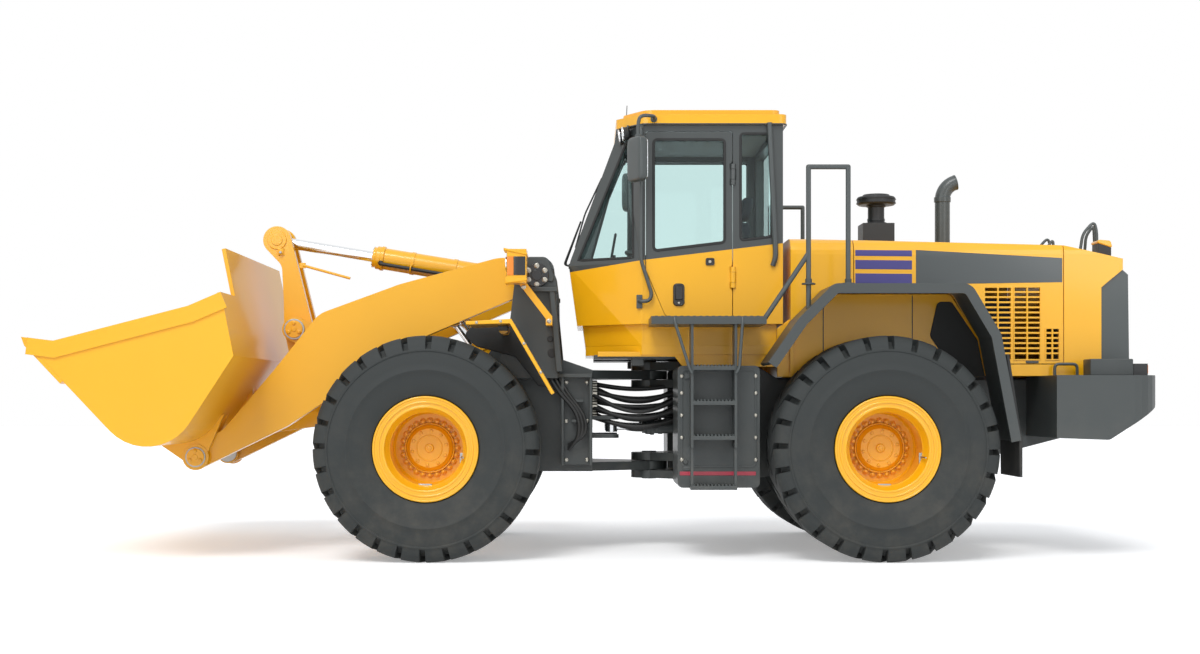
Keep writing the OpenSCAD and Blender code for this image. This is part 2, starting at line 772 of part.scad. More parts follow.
module cab_glass() {
    color(tint) intersection() {
        cab_skin(22, 30);
        window_holes();
    }
}

module door_pane(gap) {
    x0 = door_front_x + gap + 60;
    x1 = door_rear_x - gap - 60;
    z1 = door_high_z - gap - 60;
    polygon(rounded([[x0, waist_z(x0), 30], [x0, z1, 30], [x1, z1, 30], [x1, waist_z(x1), 30]]));
}

module cab_door() {
    color(yellow) difference() {
        union() {
            slab(-cab_half, -side_wall_y) door_outline(door_gap);
            door_hinges() cylinder(r = door_knuckle_r, h = 80, center = true);
        }
        slab(-cab_half - 1, -side_wall_y + 1) door_pane(door_gap);
        door_hinges() {
            cylinder(r = door_knuckle_pin_r + pin_gap, h = 200, center = true);
            for (z = [-86, 40]) translate([0, 0, z]) cylinder(r = door_knuckle_r + 3, h = 46);
        }
    }
}

module door_glass() {
    color(tint) slab(-cab_half + 22, -cab_half + 30) door_pane(door_gap);
}

seat_x = hinge_x + 455;

module operator_seat() {
    color(rubber) {
        translate([seat_x - 200, -200, cab_floor_z + cab_floor_t]) cube([400, 400, 330]);
        translate([seat_x - 260, -250, cab_floor_z + cab_floor_t + 330]) cube([520, 500, 120]);
        slab(-240, 240) polygon(rounded([[seat_x + 130, 2040, 0], [seat_x + 250, 2040, 0],
            [seat_x + 340, 2860, 40], [seat_x + 230, 2860, 40]]));
    }
}

module control_column() {
    base_z = cab_floor_z + cab_floor_t;
    color(dark) {
        difference() {
            translate([hinge_x - 165, 0, base_z]) rotate([0, 12, 0]) translate([0, 0, -40])
                cylinder(r = 60, h = 780);
            translate([hinge_x - 400, -200, base_z - 200]) cube([600, 400, 200]);
        }
        translate([hinge_x - 10, 0, base_z + 735]) rotate([0, 20, 0]) {
            rotate_extrude() translate([190, 0]) circle(r = 16);
            for (a = [0:120:240]) rotate([0, 0, a]) translate([0, -15, -8]) cube([190, 30, 16]);
            translate([0, 0, -20]) cylinder(r = 55, h = 40);
        }
    }
}

module mirrors() {
    color(dark) both_sides() {
        arm_z = head_z + 40;
        mirror_y = cab_half + 210;
        mirror_x = pillar_x - 50;
        root_x = pillar_x + 80;
        translate([mirror_x - 30, mirror_y - 95, 2920]) cube([60, 190, 325]);
        translate([mirror_x, mirror_y, 3240]) cylinder(r = 14, h = arm_z - 3240);
        translate([mirror_x, mirror_y, arm_z]) rotate([0, 90, 0]) cylinder(r = 14, h = root_x - mirror_x);
        translate([root_x, cab_half + 25, arm_z]) rotate([-90, 0, 0])
            cylinder(r = 14, h = mirror_y - cab_half - 25);
        for (x = [mirror_x, root_x]) translate([x, mirror_y, arm_z]) sphere(r = 14);
    }
}

module air_precleaner() {
    z = fender_top_z;
    color(dark) translate([hood_front_x + 821, 0, 0]) {
        difference() {
            translate([-130, -130, z + 300]) cube([260, 260, 294]);
            translate([-hood_front_x - 821, 0, 0]) hood_body(0, weight_top_z);
        }
        rotate_extrude() polygon([[0, z + 590], [68, z + 590], [68, z + 735], [80, z + 740], [80, z + 749],
            [150, z + 755], [159, z + 765], [159, z + 812], [150, z + 822], [118, z + 826], [108, z + 841],
            [0, z + 841]]);
    }
}

stack_x = wheelbase + 725;
stack_r = 62;
stack_bend = 150;

module exhaust_stack() {
    bend_z = fender_top_z + 800;
    color(dark) translate([stack_x, 0, 0]) difference() {
        union() {
            translate([0, 0, fender_top_z + 310]) cylinder(r = stack_r, h = bend_z - fender_top_z - 310);
            translate([0, 0, bend_z - 20]) cylinder(r = stack_r + 7, h = 40);
            translate([stack_bend, 0, bend_z]) rotate([90, 0, 0]) rotate([0, 0, 105])
                rotate_extrude(angle = 75) translate([stack_bend, 0]) circle(r = stack_r);
        }
        translate([-stack_x, 0, 0]) hood_body(0, weight_top_z);
        translate([stack_bend - 25, -200, bend_z]) cube([200, 400, 400]);
    }
}

module rear_lamps() {
    color(orange) both_sides() {
        difference() {
            translate([tail_x - 310, 560, fender_top_z + 210]) cube([100, 160, 160]);
            hood_body(0, weight_top_z);
        }
        translate([tail_x - 180, 980, weight_top_z]) cube([110, 170, 90]);
    }
}

// Front frame

module tower_outline() {
    polygon(rounded([[470, 1390, 0], [590, 1800, 200], [655, 2345, 100], [935, 2345, 100], [965, 2100, 100],
        [975, 1390, 0]]));
}

module front_frame() {
    color(dark) {
        both_sides() {
            slab(inner_plate_y, inner_plate_y + plate_t) polygon(rounded([[-260, saddle_z - 70, 40],
                [-260, saddle_z + 100, 40], [250, saddle_z + 300, 200], [590, 1800, 200], [655, 2345, 100],
                [935, 2345, 100], [960, 2100, 100], [960, 1560, 60], [1250, 1460, 0], [1250, 645, 0], [420, 645, 60],
                [330, saddle_z - 70, 60]]));
            slab(outer_plate_y, outer_plate_y + plate_t) tower_outline();
            translate([470, inner_plate_y, 1390]) cube([505, outer_plate_y + plate_t - inner_plate_y, 40]);
            bar(root_pin, root_pin_r, inner_plate_y + 10, outer_plate_y + plate_t + 20);
            bar(lift_base, 50, lift_lug_in, inner_plate_y + 10);
            slab(lift_lug_in, lift_y - lift_barrel_r - 6) {
                translate(lift_base) circle(r = 90);
                polygon([[810, 645], [1000, 645], [990, 800], [810, 800]]);
            }
            difference() {
                translate([-150, inner_plate_y - 100, axle_z + 100])
                    cube([300, 100 + plate_t, saddle_z - axle_z - 100]);
                axle_arm(0, seat_gap);
            }
        }
        translate([-260, -inner_plate_y, saddle_z - 10]) cube([60, 2 * inner_plate_y, 110]);
        translate([740, -inner_plate_y, 1900]) cube([140, 2 * inner_plate_y, 240]);
        translate([420, -inner_plate_y, 645]) cube([830, 2 * inner_plate_y, 40]);
        difference() {
            translate([1210, -inner_plate_y, 645]) cube([40, 2 * inner_plate_y, 815]);
            translate([1200, -190, 760]) cube([60, 380, 500]);
        }
        both_sides() slab(tilt_lug_in, tilt_lug_out) difference() {
            union() {
                translate(tilt_base) circle(r = 100);
                polygon([[tilt_base.x, 2345], [760, 2140], [760, 1910], [tilt_base.x, 2150]]);
            }
            translate(tilt_base) circle(r = 55 + pin_gap);
        }
        for (z = [hinge_up_z, hinge_low_z]) difference() {
            hinge_plate(1240, inner_plate_y - 20, z - hinge_half, z + hinge_half);
            translate([hinge_x, 0, z - 100]) cylinder(r = hinge_pin_r + pin_gap, h = 200);
        }
        both_sides() for (z = steer_lugs) translate([0, 0, z]) linear_extrude(steer_lug_t) {
            translate(steer_eye) circle(r = 60);
            translate([1240, steer_eye.y - 60]) square([steer_eye.x - 1240, 120]);
        }
    }
}

module front_fenders() {
    color(yellow) both_sides() {
        knee = [axle_z - 210, tyre_od + 115];
        end = [axle_z + 105, axle_z + 425];
        slab(840, 1420) polygon([[knee.x - 321, knee.y - 35], [knee.x - 321, knee.y - 15], knee, end,
            end - [20, 13], knee - [12, 20]]);
        translate([knee.x - 80, outer_plate_y + plate_t, knee.y - 53]) rotate([-90, 0, 0])
            cylinder(r = 36, h = 320);
    }
}

module head_lamps() {
    color(dark) both_sides() {
        lamp_z = tyre_od + 420;
        translate([590, 850, lamp_z]) cube([150, 220, 260]);
        slab(860, 910) polygon([[670, lamp_z + 10], [735, lamp_z + 10], [935, lamp_z - 250],
            [935, lamp_z - 320], [885, lamp_z - 320], [885, lamp_z - 270]]);
        translate([885, outer_plate_y + plate_t, lamp_z - 320]) cube([50, 190, 60]);
    }
}

module hinge_hoses() {
    color(rubber) both_sides() for (y = [240, 300]) translate([1250, y, 1215]) rotate([0, 90, 0])
        cylinder(r = 20, h = frame_front_x - 1250);
}

// Boom and linkage

module boom_outline() {
    translate(root_pin) circle(r = 140);
    translate(bucket_pin) circle(r = 95);
    polygon(rounded([[root_pin.x, root_pin.y + 139, 0], [500, 2352, 300], [-284, 2142, 800], [-930, 1905, 220],
        [-1284, 1462, 150], [-1690, 985, 80], [bucket_pin.x - 72, bucket_pin.y + 62, 0],
        [bucket_pin.x + 48, bucket_pin.y - 82, 0], [-1180, 1010, 300], [-842, 1235, 300], [-500, 1500, 400],
        [-117, 1710, 400], [400, 1930, 300], [root_pin.x - 60, root_pin.y - 126, 0]]));
}

module boom_arms() {
    color(yellow) both_sides() difference() {
        union() {
            slab(arm_in, arm_out) boom_outline();
            bar(lift_eye, 80, lift_y + lift_eye_half + 20, arm_in + 1);
        }
        bar(root_pin, root_pin_r + pin_gap, 0, 1000);
        bar(bucket_pin, bucket_pin_r + pin_gap, 0, 1000);
    }
}

module boom_cross_tube() {
    color(yellow) difference() {
        union() {
            bar(cross_tube, cross_tube_r, -arm_in, arm_in);
            both_sides() slab(bracket_in, bracket_out) {
                translate(bell_pivot) circle(r = bracket_r);
                polygon([bell_pivot + [-10, bracket_r - 1], cross_tube + [-20, cross_tube_r - 2],
                    cross_tube + [-60, 14 - cross_tube_r], bell_pivot + [-60, 20 - bracket_r]]);
            }
        }
        bar(bell_pivot, bell_pin_r + pin_gap, -500, 500);
    }
}

module bucket_frame() { translate([bucket_pin.x, 0, bucket_pin.y]) rotate([0, bucket_roll, 0]) children(); }

module bucket_shell(top_len) {
    end = back_top + top_len * lip_dir;
    outer = concat([tip], arc(back_mid, bucket_r, -90, back_lean, 10), [back_top, end]);
    inner = concat([end + bucket_t * lip_in, back_top + bucket_t * knee_in],
        arc(back_mid, bucket_r - bucket_t, back_lean, -90, 10), [tip + [2 * bucket_t, bucket_t]]);
    polygon(concat(outer, inner));
}

module bucket_side() {
    polygon(concat([tip], arc(back_mid, bucket_r, -90, back_lean, 10), [back_top, lip_end],
        [[-724, 904], [-1219, 3]]));
}

side_edge = [tip + [40, 35], [-1219, 3], [-724, 904], lip_end];
band_t = 15;
band_w = 125;

module bucket() {
    half = bucket_w / 2;
    color(yellow) bucket_frame() difference() {
        union() {
            slab(-half + band_t, half - band_t) bucket_shell(lip_len);
            slab(-half + 500, half - 500) bucket_shell(lip_len + guard_len);
            both_sides() {
                slab(half - bucket_t - band_t, half - band_t) bucket_side();
                slab(half - band_t - 1, half) polygon(band(side_edge, band_w));
            }
            both_sides() for (y = [arm_in - side_gap - ear_t, arm_out + side_gap]) slab(y, y + ear_t) {
                circle(r = 92);
                polygon([[-30, -87], [40, 83], [back_foot.x - 10, 400], back_mid + [250, -275],
                    [-420, floor_z + 5], [-300, floor_z + 5]]);
            }
            both_sides() slab(bell_in, bell_out) {
                translate(link_eye_local) circle(r = 95);
                polygon([link_eye_local + [20, 93], back_foot + 330 * up_dir + [-10, 0], back_foot + [-10, -40],
                    link_eye_local + [10, -94]]);
            }
        }
        bar([0, 0], bucket_pin_r + pin_gap, -1000, 1000);
    }
}

module bucket_pins() {
    color(steel) both_sides() {
        y0 = arm_in - side_gap - ear_t;
        y1 = arm_out + side_gap + ear_t;
        bar(bucket_pin, bucket_pin_r, y0 - 12, y1 + 12);
        bar(bucket_pin, bucket_pin_r + 25, y1 + 1, y1 + 14);
        bar(bucket_pin, bucket_pin_r + 25, y0 - 14, y0 - 1);
    }
}

module bellcrank() {
    color(yellow) difference() {
        union() {
            both_sides() slab(bell_in, bell_out) {
                translate(bell_top) circle(r = 115);
                translate(bell_foot) circle(r = 105);
                polygon(rounded([[bell_top.x - 90, bell_top.y - 72, 0], [bell_top.x + 113, bell_top.y + 20, 0],
                    [bell_pivot.x + 115, bell_pivot.y + 130, 200], [bell_pivot.x + 190, bell_pivot.y - 160, 200],
                    [bell_foot.x + 91, bell_foot.y + 52, 0], [bell_foot.x - 91, bell_foot.y - 52, 0],
                    [bell_pivot.x - 55, bell_pivot.y - 200, 150], [bell_pivot.x - 95, bell_pivot.y, 200],
                    [bell_pivot.x - 100, bell_pivot.y + 250, 200], [bell_pivot.x - 115, bell_pivot.y + 530, 100]]));
            }
            bar(bell_pivot, bell_hub_r, -bell_out, bell_out);
        }
        bar(bell_pivot, bell_pin_r + pin_gap, -500, 500);
        bar(bell_foot, link_pin_r + pin_gap, -500, 500);
    }
}

module bellcrank_pin() {
    color(steel) {
        bar(bell_pivot, bell_pin_r, -bracket_out - 12, bracket_out + 12);
        both_sides() bar(bell_pivot, bell_pin_r + 25, bracket_out + 1, bracket_out + 14);
    }
}

module bucket_link() {
    half = bell_in - side_gap;
    color(yellow) difference() {
        union() {
            slab(-half, half) {
                translate(bell_foot) circle(r = 90);
                translate(link_eye) circle(r = link_end_r);
                polygon([bell_foot + [4, link_half], link_eye + [4, link_half], link_eye + [-4, -link_half],
                    bell_foot + [-4, -link_half]]);
            }
            bar(link_eye, 50, -bell_in + 3, bell_in - 3);
        }
        bar(bell_foot, link_pin_r + pin_gap, -500, 500);
    }
}

module link_pin() {
    color(steel) {
        bar(bell_foot, link_pin_r, -bell_out - 12, bell_out + 12);
        both_sides() bar(bell_foot, link_pin_r + 22, bell_out + 1, bell_out + 14);
    }
}

module tilt_base_pin() {
    color(steel) {
        bar(tilt_base, 55, -tilt_lug_out - 12, tilt_lug_out + 12);
        both_sides() bar(tilt_base, 78, tilt_lug_out + 1, tilt_lug_out + 14);
    }
}

// Cylinder barrel along +X from its base eye, with a blind bore for the rod
module barrel(r, len, bore, eye_r, eye_half, pin_r, base = 60) {
    difference() {
        union() {
            rotate([90, 0, 0]) translate([0, 0, -eye_half]) cylinder(r = eye_r, h = 2 * eye_half);
            translate([eye_r * 0.6, 0, 0]) rotate([0, 90, 0]) cylinder(r = r, h = len - eye_r * 0.6 - 60);
            translate([len - 60, 0, 0]) rotate([0, 90, 0]) cylinder(r = r * 0.94, h = 60);
        }
        translate([eye_r + base, 0, 0]) rotate([0, 90, 0]) cylinder(r = bore + pin_gap, h = len);
        rotate([90, 0, 0]) cylinder(r = pin_r + pin_gap, h = 4 * eye_half, center = true);
    }
}

// Rod along +X from inside the barrel to its eye
module piston_rod(r, from, to, eye_r, eye_half, pin_r, pin_half) {
    translate([from, 0, 0]) rotate([0, 90, 0]) cylinder(r = r, h = to - from - eye_r * 0.5);
    translate([to, 0, 0]) rotate([90, 0, 0]) cylinder(r = eye_r, h = 2 * eye_half, center = true);
    translate([to, 0, 0]) rotate([90, 0, 0]) cylinder(r = pin_r, h = 2 * pin_half, center = true);
}

tilt_len = norm(bell_top - tilt_base);
tilt_barrel_len = 1110;
lift_len = norm(lift_eye - lift_base);
lift_barrel_len = 1070;
steer_len = norm(steer_eye - steer_base);
steer_barrel_len = 490;

module tilt_barrel() {
    color(dark) along(tilt_base, bell_top)
        barrel(tilt_barrel_r, tilt_barrel_len, tilt_rod_r, 95, tilt_lug_in - side_gap, 55);
}

module tilt_rod() {
    color(steel) along(tilt_base, bell_top)
        piston_rod(tilt_rod_r, 840, tilt_len, 95, bell_in - side_gap, 55, bell_in - 3);
}

module lift_barrel() {
    color(dark) translate([0, lift_y, 0]) along(lift_base, lift_eye)
        barrel(lift_barrel_r, lift_barrel_len, lift_rod_r, 85, lift_eye_half, 50);
}

module lift_rod() {
    color(steel) translate([0, lift_y, 0]) along(lift_base, lift_eye)
        piston_rod(lift_rod_r, 280, lift_len, 80, lift_eye_half, 50, lift_eye_half + 14);
}

module steer_place() {
    translate([steer_base.x, steer_base.y, steer_z]) rotate([0, 0, bearing(steer_base, steer_eye)])
        rotate([90, 0, 0]) children();
}

module steer_barrel() {
    color(dark) steer_place() barrel(steer_barrel_r, steer_barrel_len, steer_rod_r, 50, 40, steer_pin_r, 15);
}

module steer_rod() {
    color(steel) steer_place() piston_rod(steer_rod_r, 272, steer_len, 48, 40, 26, 42);
}

// Every piece, moved so that the origin lies under the middle of the machine's length
module place() { translate([-origin_x, 0, 0]) children(); }

place() rear_frame();
place() axle(wheelbase);  // rear_axle
place() power_train();
place() counterweight();
place() engine_hood();
place() rear_grille();
place() on_left() engine_door();  // engine_door_left
place() engine_door();  // engine_door_right
place() rear_fenders();
place() side_tanks();
place() ladders();
place() handrails();
place() cab_floor();
place() cab_front();
place() cab_left_side();
place() cab_right_side();
place() cab_rear_wall();
place() cab_roof();
place() cab_glass();
place() cab_door();
place() door_glass();
place() operator_seat();
place() control_column();
place() mirrors();
place() air_precleaner();
place() exhaust_stack();
place() rear_lamps();
place() front_frame();
place() axle(0);  // front_axle
place() front_fenders();
place() head_lamps();
place() hinge_hoses();
place() boom_arms();
place() boom_cross_tube();
place() bucket();
place() bucket_pins();
place() bellcrank();
place() bellcrank_pin();
place() bucket_link();
place() link_pin();
place() tilt_base_pin();
place() tilt_barrel();
place() tilt_rod();
place() on_left() lift_barrel();  // lift_barrel_left
place() on_left() lift_rod();  // lift_rod_left
place() lift_barrel();  // lift_barrel_right
place() lift_rod();  // lift_rod_right
place() on_left() steer_barrel();  // steer_barrel_left
place() on_left() steer_rod();  // steer_rod_left
place() steer_barrel();  // steer_barrel_right
place() steer_rod();  // steer_rod_right
place() wheel_place(0, true) tyre();  // tyre_front_left
place() wheel_place(0, true) rim();  // rim_front_left
place() wheel_place(0, false) tyre();  // tyre_front_right
place() wheel_place(0, false) rim();  // rim_front_right
place() wheel_place(wheelbase, true) tyre();  // tyre_rear_left
place() wheel_place(wheelbase, true) rim();  // rim_rear_left
place() wheel_place(wheelbase, false) tyre();  // tyre_rear_right
place() wheel_place(wheelbase, false) rim();  // rim_rear_right
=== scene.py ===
"""Wheel loader: finishes, small pieces and studio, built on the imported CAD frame.

Places are written in millimetres from the front axle's centre line at ground level, as in the part's source:
-x is forward, -y is the machine's left side, +z is up. They become metres in the row frame as a mesh is made.
"""

from __future__ import annotations

import logging
import math
from dataclasses import dataclass
from enum import Enum
from typing import Callable, Iterable, Sequence

import bpy
import numpy as np
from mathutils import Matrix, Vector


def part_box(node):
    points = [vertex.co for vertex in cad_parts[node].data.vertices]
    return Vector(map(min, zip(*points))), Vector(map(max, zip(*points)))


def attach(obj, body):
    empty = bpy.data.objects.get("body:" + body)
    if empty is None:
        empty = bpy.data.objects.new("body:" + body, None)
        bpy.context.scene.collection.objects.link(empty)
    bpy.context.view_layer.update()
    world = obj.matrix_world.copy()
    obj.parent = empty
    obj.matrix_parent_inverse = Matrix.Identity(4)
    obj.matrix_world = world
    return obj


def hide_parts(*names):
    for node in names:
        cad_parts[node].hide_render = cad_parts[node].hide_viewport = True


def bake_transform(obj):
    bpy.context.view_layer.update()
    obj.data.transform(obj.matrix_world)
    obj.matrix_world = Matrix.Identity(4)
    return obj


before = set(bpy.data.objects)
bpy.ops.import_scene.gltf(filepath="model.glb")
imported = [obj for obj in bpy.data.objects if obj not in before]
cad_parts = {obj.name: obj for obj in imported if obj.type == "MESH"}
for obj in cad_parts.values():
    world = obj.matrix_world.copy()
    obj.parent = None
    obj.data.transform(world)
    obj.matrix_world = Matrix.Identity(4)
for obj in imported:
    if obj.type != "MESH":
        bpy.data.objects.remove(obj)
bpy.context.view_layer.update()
AXLE_X = float(sum(corner.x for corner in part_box("front_axle")) / 2)
LOG = logging.getLogger("wheel_loader")
SIDES = {"left": -1.0, "right": 1.0}


# Surfaces


@dataclass
class Patch:
    """A surface: points in millimetres and arrays of faces, one array for each corner count."""

    co: np.ndarray
    faces: list[np.ndarray]

    def moved(self, offset: Sequence[float]) -> "Patch":
        """Shifts the surface.

        Args:
            offset: Shift in millimetres.

        Returns:
            The shifted surface.
        """
        return Patch(self.co + np.asarray(offset, float), self.faces)

    def mapped(self, matrix: np.ndarray, offset: Sequence[float] = (0, 0, 0)) -> "Patch":
        """Turns the surface by a 3x3 matrix, then shifts it; a mirroring matrix also flips the faces.

        Args:
            matrix: 3x3 matrix that multiplies each point.
            offset: Shift in millimetres.

        Returns:
            The placed surface.
        """
        flip = np.linalg.det(matrix) < 0
        faces = [f[:, ::-1] for f in self.faces] if flip else self.faces
        return Patch(self.co @ np.asarray(matrix, float).T + np.asarray(offset, float), faces)

    def mirrored(self) -> "Patch":
        """Reflects the surface across the machine's middle plane.

        Returns:
            The reflected surface.
        """
        return self.mapped(np.diag([1.0, -1.0, 1.0]))

    def outward(self) -> "Patch":
        """Turns the faces so that a closed surface has a positive volume.

        Returns:
            The surface with outward faces.
        """
        volume = 0.0
        for f in self.faces:
            a = self.co[f[:, 0]]
            for k in range(1, f.shape[1] - 1):
                volume += float(np.einsum("ij,ij->", a, np.cross(self.co[f[:, k]], self.co[f[:, k + 1]])))
        return self if volume >= 0 else Patch(self.co, [f[:, ::-1] for f in self.faces])


def joined(parts: Iterable[Patch]) -> Patch:
    """Gathers surfaces into one.

    Args:
        parts: Surfaces to gather.

    Returns:
        One surface holding them all.
    """
    parts = list(parts)
    start, faces = 0, []
    for part in parts:
        faces += [f + start for f in part.faces]
        start += len(part.co)
    return Patch(np.concatenate([p.co for p in parts]), faces)


def both(part: Patch) -> Patch:
    """Gathers a surface and its reflection on the machine's other side.

    Args:
        part: Surface of one side.

    Returns:
        Both surfaces.
    """
    return joined([part, part.mirrored()])


def grid(points: np.ndarray, wrap_u: bool = False, wrap_v: bool = False, cap_u: bool = False) -> Patch:
    """Surface through a grid of points, p(i, j) -> p(i+1, j), p(i, j+1).

    Args:
        points: Array of shape (nu, nv, 3).
        wrap_u: Joins the last row to the first.
        wrap_v: Joins the last column to the first.
        cap_u: Closes the first and the last row with one face each.

    Returns:
        The surface.
    """
    nu, nv = points.shape[:2]
    i = np.arange(nu if wrap_u else nu - 1)[:, None]
    j = np.arange(nv if wrap_v else nv - 1)[None, :]
    a, b = i * nv + j, i * nv + (j + 1) % nv
    c, d = (i + 1) % nu * nv + (j + 1) % nv, (i + 1) % nu * nv + j
    faces = [np.stack([a, b, c, d], -1).reshape(-1, 4)]
    if cap_u:
        faces += [np.arange(nv)[None, ::-1], np.arange(nv)[None, :] + (nu - 1) * nv]
    return Patch(points.reshape(-1, 3), faces)


def axes(direction: Sequence[float]) -> np.ndarray:
    """Matrix whose third column is a direction, so that +z turns into it.

    Args:
        direction: Direction of any length.

    Returns:
        3x3 rotation matrix.
    """
    w = np.asarray(direction, float) / np.linalg.norm(direction)
    u = np.cross((0.0, 1.0, 0.0) if abs(w[1]) < 0.9 else (1.0, 0.0, 0.0), w)
    u /= np.linalg.norm(u)
    return np.stack([u, np.cross(w, u), w], -1)


def lathe(profile: Sequence[Sequence[float]], turns: int = 48, loop: bool = False) -> Patch:
    """Surface of revolution about z: p(t, s) = (r(s) cos t, r(s) sin t, h(s)).

    Args:
        profile: Points (r, h) along the outline.
        turns: Steps around the axis.
        loop: True for a ring whose outline closes on itself, otherwise the ends are capped.

    Returns:
        The closed surface.
    """
    r, h = np.asarray(profile, float).T
    t = np.linspace(0, 2 * math.pi, turns, endpoint=False)
    ring = np.stack([r[:, None] * np.cos(t), r[:, None] * np.sin(t), np.repeat(h[:, None], turns, 1)], -1)
    return grid(ring, wrap_u=loop, wrap_v=True, cap_u=not loop).outward()


def round_corners(corners: Sequence[Sequence[float]], steps: int = 5) -> np.ndarray:
    """Outline through corners (x, y, radius), each replaced by an arc.

    Args:
        corners: Corners in order; a radius of 0 keeps the corner.
        steps: Steps of each arc.

    Returns:
        Array of outline points.
    """
    c = np.asarray(corners, float)
    out = []
    for k, (x, y, r) in enumerate(c):
        p = np.array([x, y])
        if r <= 0:
            out.append(p[None])
            continue
        a, b = c[k - 1, :2] - p, c[(k + 1) % len(c), :2] - p
        a, b = a / np.linalg.norm(a), b / np.linalg.norm(b)
        half = math.acos(np.clip(a @ b, -1, 1)) / 2
        mid = p + (a + b) / np.linalg.norm(a + b) * r / math.sin(half)
        first = p + a * r / math.tan(half) - mid
        sweep_angle = -(math.pi - 2 * half) * np.sign(a[0] * b[1] - a[1] * b[0])
        t = np.linspace(0, sweep_angle, steps + 1)
        out.append(mid + np.stack([first[0] * np.cos(t) - first[1] * np.sin(t),
                                   first[0] * np.sin(t) + first[1] * np.cos(t)], -1))
    return np.concatenate(out)


def inset(outline: np.ndarray, amount: float) -> np.ndarray:
    """Outline taken in by a mitred amount, for the chamfer of a plate.

    Args:
        outline: Closed outline, either way round.
        amount: Distance inward in millimetres.

    Returns:
        The smaller outline, point for point.
    """
    nxt = np.roll(outline, -1, 0) - outline
    nxt /= np.maximum(np.linalg.norm(nxt, axis=1, keepdims=True), 1e-9)
    prv = np.roll(nxt, 1, 0)
    area = np.sum(outline[:, 0] * np.roll(outline[:, 1], -1) - np.roll(outline[:, 0], -1) * outline[:, 1])
    n = np.stack([-nxt[:, 1], nxt[:, 0]], -1) * np.sign(area)
    m = np.stack([-prv[:, 1], prv[:, 0]], -1) * np.sign(area)
    return outline + amount * (n + m) / np.maximum(1 + np.sum(n * m, 1, keepdims=True), 0.4)


def prism(outline: np.ndarray, low: float, high: float, chamfer: float = 0.0) -> Patch:
    """Plate over an outline in the x-y plane, p(k, s) = (outline(s) taken in at the faces, height(k)).

    Args:
        outline: Closed outline of the plate.
        low: Lower face.
        high: Upper face.
        chamfer: Size of the edge chamfer.

    Returns:
        The closed plate.
    """
    outline = np.asarray(outline, float)
    rings = [(chamfer, low), (0, low + chamfer), (0, high - chamfer),
             (chamfer, high)] if chamfer else [(0, low), (0, high)]
    rows = [np.column_stack([inset(outline, c) if c else outline, np.full(len(outline), z)]) for c,
            z in rings]
    return grid(np.stack(rows), wrap_v=True, cap_u=True).outward()


X_Z = np.array([[1.0, 0, 0], [0, 0, 1.0], [0, 1.0, 0]])
Y_Z = np.array([[0, 0, 1.0], [1.0, 0, 0], [0, 1.0, 0]])


def slab(outline: np.ndarray, y0: float, y1: float, chamfer: float = 0.0) -> Patch:
    """Plate over an outline (x, z), carried across the machine from y0 to y1.

    Args:
        outline: Closed outline in the x-z plane.
        y0: One face.
        y1: The other face.
        chamfer: Size of the edge chamfer.

    Returns:
        The closed plate.
    """
    return prism(outline, min(y0, y1), max(y0, y1), chamfer).mapped(X_Z)


def block(lo: Sequence[float], hi: Sequence[float], chamfer: float = 4.0) -> Patch:
    """Box between two corners, with every edge chamfered.

    Args:
        lo: Lowest corner.
        hi: Highest corner.
        chamfer: Size of the chamfers.

    Returns:
        The closed box.
    """
    (x0, y0, z0), (x1, y1, z1) = np.minimum(lo, hi), np.maximum(lo, hi)
    c = min(chamfer, (x1 - x0) / 3, (y1 - y0) / 3, (z1 - z0) / 3)
    outline = round_corners([(x0, y0, c), (x1, y0, c), (x1, y1, c), (x0, y1, c)], 2)
    return prism(outline, z0, z1, c * 0.6)


def smooth_path(points: Sequence[Sequence[float]], radius: float, steps: int = 6) -> np.ndarray:
    """Path through points with its inner corners replaced by quadratic curves.

    Args:
        points: Corner points in space.
        radius: Distance from a corner at which its curve starts.
        steps: Steps of each curve.

    Returns:
        Array of path points.
    """
    p = np.asarray(points, float)
    out = [p[:1]]
    t = np.linspace(0, 1, steps + 1)[:, None]
    for a, b, c in zip(p[:-2], p[1:-1], p[2:]):
        ra = min(radius, np.linalg.norm(a - b) * 0.48)
        rc = min(radius, np.linalg.norm(c - b) * 0.48)
        s, e = b + (a - b) / np.linalg.norm(a - b) * ra, b + (c - b) / np.linalg.norm(c - b) * rc
        out.append((1 - t) ** 2 * s + 2 * t * (1 - t) * b + t ** 2 * e)
    out.append(p[-1:])
    return np.concatenate(out)


def swept(profile: np.ndarray, path: np.ndarray, up: Sequence[float] | None = None) -> Patch:
    """Profile carried along a path: p(i, j) = path(i) + u(j) side(i) + v(j) up(i), with capped ends.

    Args:
        profile: Closed outline (u, v) in the section's plane.
        path: Points of the path.
        up: Direction the section's v axis keeps to, or None to carry the section along without twist.

    Returns:
        The closed surface.
    """
    tangent = np.gradient(path, axis=0)
    tangent /= np.linalg.norm(tangent, axis=1, keepdims=True)
    ups = np.empty_like(path)
    current = np.asarray(up if up is not None else axes(tangent[0])[:, 0], float)
    for k, t in enumerate(tangent):
        current = current if up is None else np.asarray(up, float)
        current = current - t * (current @ t)
        current /= np.linalg.norm(current)
        ups[k] = current
    side = np.cross(tangent, ups)
    pts = path[:, None] + profile[None, :, :1] * side[:, None] + profile[None, :, 1:] * ups[:, None]
    return grid(pts, wrap_v=True, cap_u=True).outward()


def circle(radius: float, sides: int = 16) -> np.ndarray:
    """Outline of a circle.

    Args:
        radius: Radius in millimetres.
        sides: Steps around it.

    Returns:
        Array of outline points.
    """
    t = np.linspace(0, 2 * math.pi, sides, endpoint=False)
    return radius * np.stack([np.cos(t), np.sin(t)], -1)


